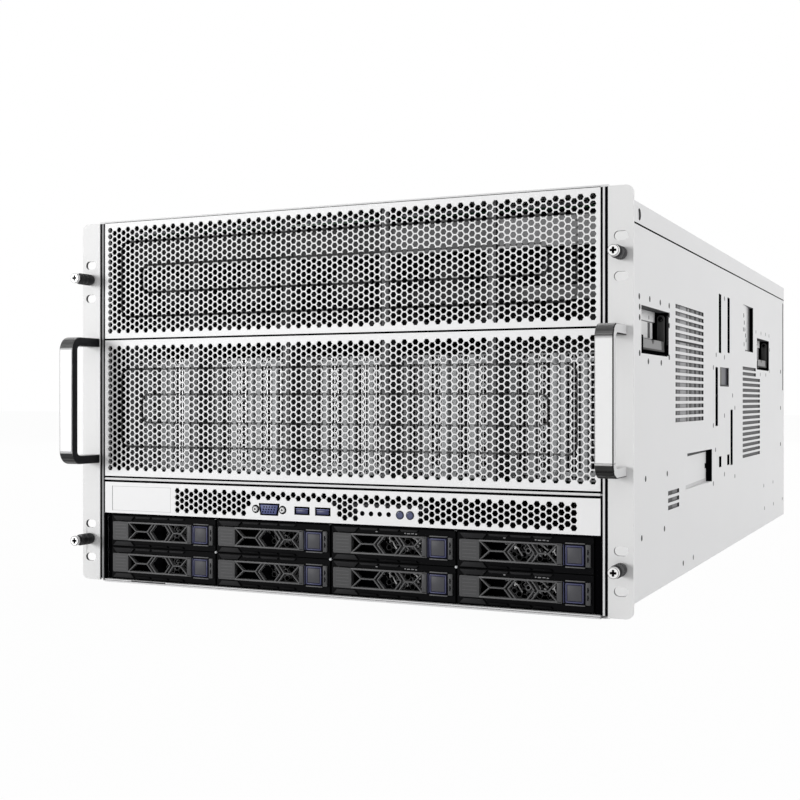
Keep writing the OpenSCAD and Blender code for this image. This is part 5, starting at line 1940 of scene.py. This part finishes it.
@dataclass
class FanRow:
    """The five fans behind the upper mesh and their board."""

    count: int = 5
    front: float = 30.0
    depth: float = 38.0
    board: float = 294.6
    rotor_radius: float = 38.9

    @property
    def height(self) -> float:
        """Height of the rotor axes."""
        return SIZE.shelf_high + (self.board - 1.2 - SIZE.shelf_high - 0.05) / 2

    def build(self) -> None:
        """Builds the frames and the rotors."""
        self.frames()
        for k in range(1, self.count + 1):
            self.rotor(k)

    def frames(self) -> None:
        """Builds the frames, brackets and the board over them."""
        piece = Workpiece()

        def tone(centre: Vector, normal: Vector) -> Finish | None:
            """Tells the bracket and the board from the plastic frame; the bracket's tone steps with the fan's
            place, painted light and shade.
            """
            if centre.z > self.board + 0.02:
                return BOARD
            if centre.z > self.board - 1.21 or centre.y < 14:
                return BRACKET_LIGHT_STEPS[min(4, max(0, round(centre.x / SIZE.fan_pitch) + 2))]
            return None

        piece.copy_node("fan_frames", FAN_PLASTIC, 0.3, tone=tone)
        one = piece.jig()
        one.block((-40.7, 11.9, self.board - 4.6), (40.7, 13.3, self.board - 0.05), VOID)
        for x in (-37.2, 37.2):
            for z in (SIZE.shelf_high + 4, self.board - 6):
                one.rod((x, self.front - 0.8, z), (x, self.front + 0.5, z), 2.6, DARK_METAL, 16, 0.3)
        one.block((-30.0, 11.5, self.board + 1.6), (30.0, 17.0, self.board + 4.4), DARK_METAL, 0.3)
        for i in range(9):
            one.block(
                (-26.5 + i * 6.2, 20.0, self.board + 1.6),
                (-23.5 + i * 6.2, 24.0, self.board + 2.8),
                VOID,
                0.2,
            )
        one.hoops((0, self.front - 1.6, self.height), (14.0, 22.5, 31.0), 0.75, DARK_METAL, 36)
        piece.place(one, [((i - 2) * SIZE.fan_pitch, 0, 0) for i in range(self.count)])
        # Plates in front of the two right fans, in the bracket tone of their place: painted light.
        for i in (3, 4):
            x = (i - 2) * SIZE.fan_pitch
            piece.block((x - 40.7, 27.5, 230.0), (x + 40.7, 28.7, 241.0), BRACKET_LIGHT_STEPS[i - 1], 0.3)
        piece.done("fan_housings", "chassis", ["fan_frames"])

    def rotor(self, k: int) -> None:
        """Builds one rotor with swept, twisted blades.

        Args:
            k: Number of the fan, from the left.
        """
        piece = Workpiece()
        length = self.depth - 9
        start = self.front + 4
        x = (k - 3) * SIZE.fan_pitch
        hub = [(0.0, 0.0), (12.0, 0.0), (15.0, 1.0), (16.0, 3.0), (16.0, length), (0.0, length)]
        piece.lathe(hub, (x, start, self.height), FAN_PLASTIC, steps=36)
        piece.rod(
            (x, start + length - 0.2, self.height),
            (x, start + length + 3.4, self.height),
            2.0,
            DARK_METAL,
            16,
        )
        blade = piece.jig()
        part = bmesh.new()
        bmesh.ops.create_grid(part, x_segments=7, y_segments=5, size=0.5)
        inner, outer = 15.0, self.rotor_radius - 0.3
        for vert in part.verts:
            out, run = vert.co.x + 0.5, vert.co.y + 0.5
            radius = inner + (outer - inner) * out
            turn = (run - 0.5) * (1.05 - 0.25 * out) + 0.22 * out * out
            share = 0.5 + (run - 0.5) * (0.92 - 0.12 * out)
            depth = 2.0 + (length - 4.0) * share + 1.6 * math.sin(run * math.pi)
            vert.co = (radius * math.cos(turn), depth, radius * math.sin(turn))
        bmesh.ops.recalc_face_normals(part, faces=part.faces)
        bmesh.ops.solidify(part, geom=part.faces[:], thickness=1.3)
        blade.add(part, FAN_PLASTIC)
        piece.place(blade, turned((x, start, self.height), 7))
        piece.done(f"fan_wheel_{k}", f"fan_rotor_{k}", [f"fan_rotor_{k}"])


# ---- cards and boards ----------------------------------------------------------------------


@dataclass
class Cards:
    """The accelerator cards behind the middle mesh, and the boards."""

    width: float = 38.0
    height: float = 96.0
    length: float = 267.0
    front: float = 32.0
    low: float = 94.8
    step: float = 40.6

    def card(self, piece: Workpiece) -> None:
        """Adds one card round x = 0: housing, bright front bars and fins.

        Args:
            piece: The cards in the making.
        """
        half, low, high = self.width / 2, self.low, self.low + self.height
        front, back = self.front, self.front + self.length
        for side in (-1, 1):
            piece.block(
                (side * (half - 0.5) - 0.5, front + 2, low),
                (side * (half - 0.5) + 0.5, back, high),
                CARD,
                0.3,
            )
            piece.block(
                (side * (half - 2.4) - 2.4, front, low),
                (side * (half - 2.4) + 2.4, front + 3, high),
                CARD,
                0.6,
            )
        piece.block((-half, front + 2, low), (half, back, low + 1.2), CARD, 0.3)
        piece.block((-half, front + 2, high - 1.2), (half, back, high), CARD, 0.3)
        piece.block((-half, back - 1.2, low), (half, back, high), CARD_DIM, 0.3)
        piece.block((-half + 1, front + 26, low + 1), (half - 1, front + 27, high - 1), CARD_DIM)
        piece.block((-3.6, front + 1, low), (1.8, front + 4, high), CARD, 0.6)
        fin = piece.jig()
        fin.block((-0.35, front + 3, low + 1.3), (0.35, front + 25, high - 1.3), FIN)
        piece.place(fin, [(-half + 6.5 + i * 3.2, 0, 0) for i in range(9)])
        for z in (low + 4.0, high - 7.0):
            piece.block((-half + 1, front - 0.6, z), (half - 1, front + 2.0, z + 3.0), CARD, 0.4)
        boss = piece.jig()
        boss.lathe([(0.9, 0.0), (2.0, 0.0), (2.2, 0.4), (2.2, 2.0)], (0, 0, 0), CARD, steps=10)
        piece.place(boss, [(8.6, front - 0.9, low + 8 + i * 10.6) for i in range(8)])

    def build(self) -> None:
        """Builds the ten cards with their board, and the main board."""
        piece = Workpiece()
        one = piece.jig()
        self.card(one)
        places = [i * SIZE.fan_pitch + s * self.step for i in range(-2, 3) for s in (-0.5, 0.5)]
        piece.place(one, [(x, 0, 0) for x in places])
        keep_below = self.low - 0.02
        piece.copy_node("accelerator_cards", BOARD, 0.15, keep=lambda c: c.z < keep_below)
        piece.done("compute_cards", "chassis", ["accelerator_cards"])
        board = Workpiece()

        def tone(centre: Vector, normal: Vector) -> Finish | None:
            """Tells heat sinks from the boards."""
            if centre.z < 8.0:
                return BRIGHT
            spread = min(abs(centre.x - 102), abs(centre.x + 102))
            return FIN if centre.z > 9.65 and spread < 42 else None

        board.copy_node("mainboard", BOARD, 0.1, tone=tone)
        part = board.jig()
        for i in range(6):
            part.block((-180 + i * 70, 225, 9.6), (-150 + i * 70, 236, 17), DARK_METAL, 0.5)
            part.block((-170 + i * 66, 560, 9.6), (-146 + i * 66, 584, 12.5), BLACK_PLASTIC, 0.4)
        for i in range(10):
            part.rod((-40 + i * 9, 520, 9.6), (-40 + i * 9, 520, 19.0), 3.2, SUPPLY, 16, 0.5)
        board.place(part, [(0, 0, 0)])
        board.done("main_board", "chassis", ["mainboard"])


# ---- rear and side parts ---------------------------------------------------------------------


@dataclass
class PowerSupplies:
    """The supply cage and its four plug-in power supplies."""

    width: float = 73.5
    height: float = 40.0
    length: float = 185.0
    cage_x: float = -208.0
    gap: float = 0.35
    wall: float = 1.0
    reach: float = 22.0

    def centre(self, k: int) -> tuple[float, float]:
        """Gives the middle of a supply's cell on X and Z, lower row first."""
        cell_w, cell_h = self.width + 2 * self.gap, self.height + 2 * self.gap
        x = self.cage_x + self.wall + cell_w / 2 + ((k - 1) % 2) * (cell_w + self.wall)
        return x, SIZE.sheet + self.wall + cell_h / 2 + ((k - 1) // 2) * (cell_h + self.wall)

    def build(self) -> None:
        """Builds the cage and the supplies."""
        cage = Workpiece()
        cage.copy_node("psu_cage", ZINC_INSIDE, 0.15)
        cage.done("supply_cage", "chassis", ["psu_cage"])
        for k in range(1, 5):
            self.supply(k)

    def supply(self, k: int) -> None:
        """Builds one power supply.

        Args:
            k: Number of the supply.
        """
        x, z = self.centre(k)
        piece = Workpiece()
        one = piece.jig()
        half_w, half_h, rear = self.width / 2, self.height / 2, SIZE.depth
        front = rear - self.length
        one.block((-half_w, front, -half_h), (half_w, rear - 6, half_h), SUPPLY, 0.5)
        rim = 1.4
        one.block((-half_w, rear - 6.5, half_h - rim), (half_w, rear + 1, half_h), SUPPLY, 0.3)
        one.block((-half_w, rear - 6.5, -half_h), (half_w, rear + 1, -half_h + rim), SUPPLY, 0.3)
        for side in (-1, 1):
            one.block(
                (side * (half_w - rim / 2) - rim / 2, rear - 6.5, -half_h),
                (side * (half_w - rim / 2) + rim / 2, rear + 1, half_h),
                SUPPLY,
                0.3,
            )
        one.block(
            (-half_w + 37.6, rear - 6.5, -half_h + 1), (-half_w + 39.4, rear + 0.6, half_h - 1), SUPPLY, 0.3
        )
        fan = -half_w + 20.5
        one.hoops((fan, rear - 0.4, 0), (5.5, 9.0, 12.5, 16.0), 0.7, BRIGHT, 32)
        for turn in (45.0, 135.0):
            spoke = one.jig()
            spoke.block((-17.6, rear - 1.0, -0.6), (17.6, rear - 0.2, 0.6), BRIGHT, 0.2)
            one.place(spoke, [Matrix.Translation((fan, 0, 0)) @ Matrix.Rotation(math.radians(turn), 4, "Y")])
        one.rod((fan, rear - 5.9, 0), (fan, rear - 3.0, 0), 7.5, FAN_PLASTIC, 24, 0.8)
        blade = one.jig()
        blade.prism(
            [(7.0, -1.5), (16.0, -4.5), (16.6, 1.5), (7.2, 1.6)],
            Along.Y,
            rear - 5.4,
            rear - 4.4,
            FAN_PLASTIC,
            0.3,
        )
        one.place(blade, turned((fan, 0, 0), 7))
        one.block((-half_w + 1.2, rear - 6.3, -half_h + 1.2), (-half_w + 38, rear - 6.0, half_h - 1.2), VOID)
        socket = half_w - 18.0
        one.block((socket - 13.5, rear - 6.0, -11.5), (socket + 13.5, rear - 0.2, 11.5), PULL, 0.8)
        one.block((socket - 11.0, rear - 0.5, -8.5), (socket + 11.0, rear - 0.15, 8.5), VOID, 0.2)
        for dx, dz in ((-6, 2.6), (0, -2.6), (6, 2.6)):
            one.block(
                (socket + dx - 1.0, rear - 0.3, dz - 2.4),
                (socket + dx + 1.0, rear + 0.3, dz + 2.4),
                BRIGHT,
                0.2,
            )
        one.rod((socket + 10.5, rear - 2, 15.2), (socket + 10.5, rear + 0.9, 15.2), 1.5, STATUS_LAMP, 16, 0.3)
        one.block((3.4, rear - 3, -half_h + 2.6), (9.6, rear + 3.6, -half_h + 6.6), LATCH, 0.6)
        self.pull(one, rear)
        piece.place(one, [(x, 0.0, z)])
        piece.done(f"supply_unit_{k}", f"power_supply_{k}", [f"power_supply_{k}"])

    def pull(self, one: Workpiece, rear: float) -> None:
        """Adds the bent pull strap behind a supply.

        Args:
            one: The supply in the making.
            rear: Place of the supply's rear face.
        """
        half, t, r = self.height / 2 - 2, 4.0, 6.0
        end = rear + self.reach
        outline = [
            (rear - 1.0, -half), (end, -half), (end, half), (rear - 1.0, half), (rear - 1.0, half - t),
            (end - t, half - t), (end - t, -half + t), (rear - 1.0, -half + t),
        ]
        part = bmesh.new()
        face = part.faces.new([part.verts.new((-1.0, y, z)) for y, z in outline])
        grown = bmesh.ops.extrude_face_region(part, geom=[face])["geom"]
        bmesh.ops.translate(part, vec=(4.0, 0, 0), verts=moving_verts(grown))
        bmesh.ops.recalc_face_normals(part, faces=part.faces)
        bends = []
        for place in (end, end - t):
            lines = (e for e in part.edges if all(abs(v.co.y - place) < 0.01 for v in e.verts))
            bends.append([e for e in lines if abs(e.verts[0].co.x - e.verts[1].co.x) > 1])
        for edges, offset, steps in zip(bends, (r, r - t + 0.5), (6, 4)):
            bmesh.ops.bevel(
                part, geom=edges, offset=offset, segments=steps, profile=0.5, affect="EDGES", material=-1
            )
        Workpiece.round_edges(part, 0.5, Along.ALL, 2, 60.0)
        one.add(part, PULL)


@dataclass
class SideGrips:
    """The four fold-out grips in the side walls' pockets."""

    starts: tuple[float, float] = (97.0, 664.0)
    length: float = 90.0
    low: float = 195.5
    bar_height: float = 9.0
    pivot_x: float = 218.0
    pivot_z: float = 224.0
    arm: float = 3.0

    def build(self) -> None:
        """Builds the four grips."""
        for k in range(1, 5):
            start = self.starts[(k - 1) % 2]
            piece = Workpiece()
            one = piece.jig()
            ends = (start + 0.6, start + self.length - 0.6)
            for a in (ends[0], ends[1] - self.arm):
                one.block(
                    (self.pivot_x - 3, a, self.low + 2),
                    (self.pivot_x + 3, a + self.arm, self.pivot_z),
                    BLACK_PLASTIC,
                    0.4,
                )
                one.rod(
                    (self.pivot_x, a, self.pivot_z),
                    (self.pivot_x, a + self.arm, self.pivot_z),
                    3.0,
                    BLACK_PLASTIC,
                    24,
                    0.3,
                )
            middle = (ends[0] + ends[1]) / 2
            top, x = self.low + self.bar_height, self.pivot_x
            one.block((x - 4, ends[0], self.low), (x + 3, ends[1], self.low + 2.0), BLACK_PLASTIC, 0.5)
            one.block((x - 4, ends[0], self.low + 1), (x + 3, ends[0] + 9, top), BLACK_PLASTIC, 0.6)
            one.block((x - 4, ends[1] - 13, self.low + 1), (x + 3, ends[1], top), BLACK_PLASTIC, 0.6)
            low = self.low + 1.2
            outline = [
                (ends[0] + 7, low), (ends[1] - 11, low), (ends[1] - 13, top), (middle + 7, top),
                (middle + 4, top - 3.4),
                (middle, top - 3.4), (middle - 3, top), (ends[0] + 11, top), (ends[0] + 8.4, top - 3),
            ]
            one.prism(outline, Along.X, x - 4, x + 3.05, GRIP, 0.5, 2)
            piece.place(one, [Matrix.Identity(4) if k > 2 else mirrored()])
            piece.done(f"fold_grip_{k}", f"side_grip_{k}", [f"side_grip_{k}"])


# ---- studio ------------------------------------------------------------------------------------


@dataclass
class Studio:
    """Floor, backdrop, lamps and camera."""

    camera_place: Point = (0.4568, -1.2937, 0.1554)
    camera_aim: Point = (-0.4208, 0.9071, 0.0)
    lens: float = 55.55
    floor_half: float = 12.0
    world_level: float = 0.42
    floor_share: float = 0.965
    lamps: tuple[tuple[str, Point, Point, float, float], ...] = (
        ("key", (-2.1, -3.2, 0.6), (0.0, -0.44, 0.15), 1.0, 62.0),
        ("side", (3.2, 0.5, 1.2), (0.2, 0.1, 0.15), 1.8, 40.0),
        ("top", (0.0, 0.2, 3.0), (0.0, 0.0, 0.2), 2.6, 20.0),
        ("back", (-1.2, 2.8, 1.2), (0.0, 0.2, 0.2), 2.2, 26.0),
    )

    def build(self) -> None:
        """Sets up the whole studio."""
        scene = bpy.context.scene
        scene.view_settings.view_transform = "Standard"
        self.camera()
        self.world()
        self.floor()
        for name, place, aim, size, power in self.lamps:
            self.lamp(name, place, aim, size, power)

    def camera(self) -> None:
        """Places the camera, level and looking at the near corner."""
        data = bpy.data.cameras.new("camera")
        data.lens = self.lens
        data.sensor_width = 36.0
        data.clip_end = 60.0
        made = bpy.data.objects.new("camera", data)
        made.location = self.camera_place
        made.rotation_euler = Vector(self.camera_aim).to_track_quat("-Z", "Y").to_euler()
        bpy.context.scene.collection.objects.link(made)
        bpy.context.scene.camera = made

    @staticmethod
    def seen_directly(tree: Tree) -> Socket:
        """Adds a switch that is 1 for camera, glossy and transmission rays."""
        path = shader_node(tree, "LightPath").outputs
        seen = maths(tree, "MAXIMUM", path["Is Camera Ray"], path["Is Glossy Ray"])
        return maths(tree, "MAXIMUM", seen, path["Is Transmission Ray"])

    @staticmethod
    def mixed(tree: Tree, share: Socket, first: Node, second: Node) -> Socket:
        """Mixes two shaders.

        Args:
            tree: The node tree.
            share: Share of the second shader.
            first: Node of the first shader.
            second: Node of the second shader.

        Returns:
            The mixed shader.
        """
        mix = tree.nodes.new("ShaderNodeMixShader")
        for socket, value in zip(mix.inputs, (share, first.outputs[0], second.outputs[0])):
            tree.links.new(value, socket)
        return mix.outputs[0]

    def world(self) -> None:
        """Lights the scene softly and shows a white backdrop."""
        world = bpy.data.worlds.new("studio")
        bpy.context.scene.world = world
        world.use_nodes = True
        tree = world.node_tree
        tree.nodes.clear()
        light, white = (
            shader_node(tree, "Background", Color=(1.0, 1.0, 1.0, 1.0), Strength=level)
            for level in (self.world_level, 1.0)
        )
        shown = self.mixed(tree, self.seen_directly(tree), light, white)
        shader_node(tree, "OutputWorld", Surface=shown)

    def floor(self) -> None:
        """Lays the pale floor, nearly white to the eye but still holding a shadow."""
        data = bpy.data.meshes.new("floor")
        plane = bmesh.new()
        bmesh.ops.create_grid(plane, x_segments=1, y_segments=1, size=self.floor_half)
        bmesh.ops.translate(plane, vec=(0, 0, -0.0006), verts=plane.verts)
        plane.to_mesh(data)
        plane.free()
        material = FLOOR.material()
        tree = material.node_tree
        shader = tree.nodes["Principled BSDF"]
        shader.inputs["Specular IOR Level"].default_value = 0.0
        glow = shader_node(tree, "Emission", Color=(1.0, 1.0, 1.0, 1.0))
        share = maths(tree, "MULTIPLY", self.seen_directly(tree), self.floor_share)
        feed(tree, tree.nodes["Material Output"].inputs["Surface"], self.mixed(tree, share, shader, glow))
        data.materials.append(material)
        made = bpy.data.objects.new("floor", data)
        bpy.context.scene.collection.objects.link(made)

    @staticmethod
    def lamp(name: str, place: Point, aim: Point, size: float, power: float) -> None:
        """Adds a soft square lamp.

        Args:
            name: Name of the lamp.
            place: Where it hangs.
            aim: The point it shines at.
            size: Its side in metres.
            power: Its power in watts.
        """
        data = bpy.data.lights.new(name, "AREA")
        data.energy = power
        data.size = size
        made = bpy.data.objects.new(name, data)
        made.location = place
        made.rotation_euler = (Vector(aim) - Vector(place)).to_track_quat("-Z", "Y").to_euler()
        made.visible_camera = False
        bpy.context.scene.collection.objects.link(made)


# ---- main -----------------------------------------------------------------------


def main() -> None:
    """Builds the visual model in order."""
    logging.basicConfig(level=logging.INFO, format="%(name)s: %(message)s")
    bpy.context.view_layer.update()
    Studio().build()
    upper = (SIZE.upper_low, SIZE.upper_high, 214.4, 300.3, 17)
    HoneycombPanel("upper_mesh_panel", "upper_mesh", *upper, PANEL_UPPER, UPPER_RINGS).build()
    middle = (SIZE.middle_low, SIZE.middle_high, 97.6, 199.4, 20)
    HoneycombPanel("middle_mesh_panel", "middle_mesh", *middle, PANEL_MIDDLE, MIDDLE_RINGS).build()
    lower = (SIZE.ports_low, SIZE.ports_high, 63.8, 80.0, 4)
    PortPanel("port_mesh_panel", "port_panel", *lower, PANEL_PORTS, (), 75, -143.2).build()
    FrontPorts().build()
    PushButtons().build()
    Case().build()
    RackEars().build()
    Handles().build()
    CaptiveScrews().build()
    DriveBays().build()
    FanRow().build()
    Cards().build()
    PowerSupplies().build()
    SideGrips().build()


if __name__ == "__main__":
    main()
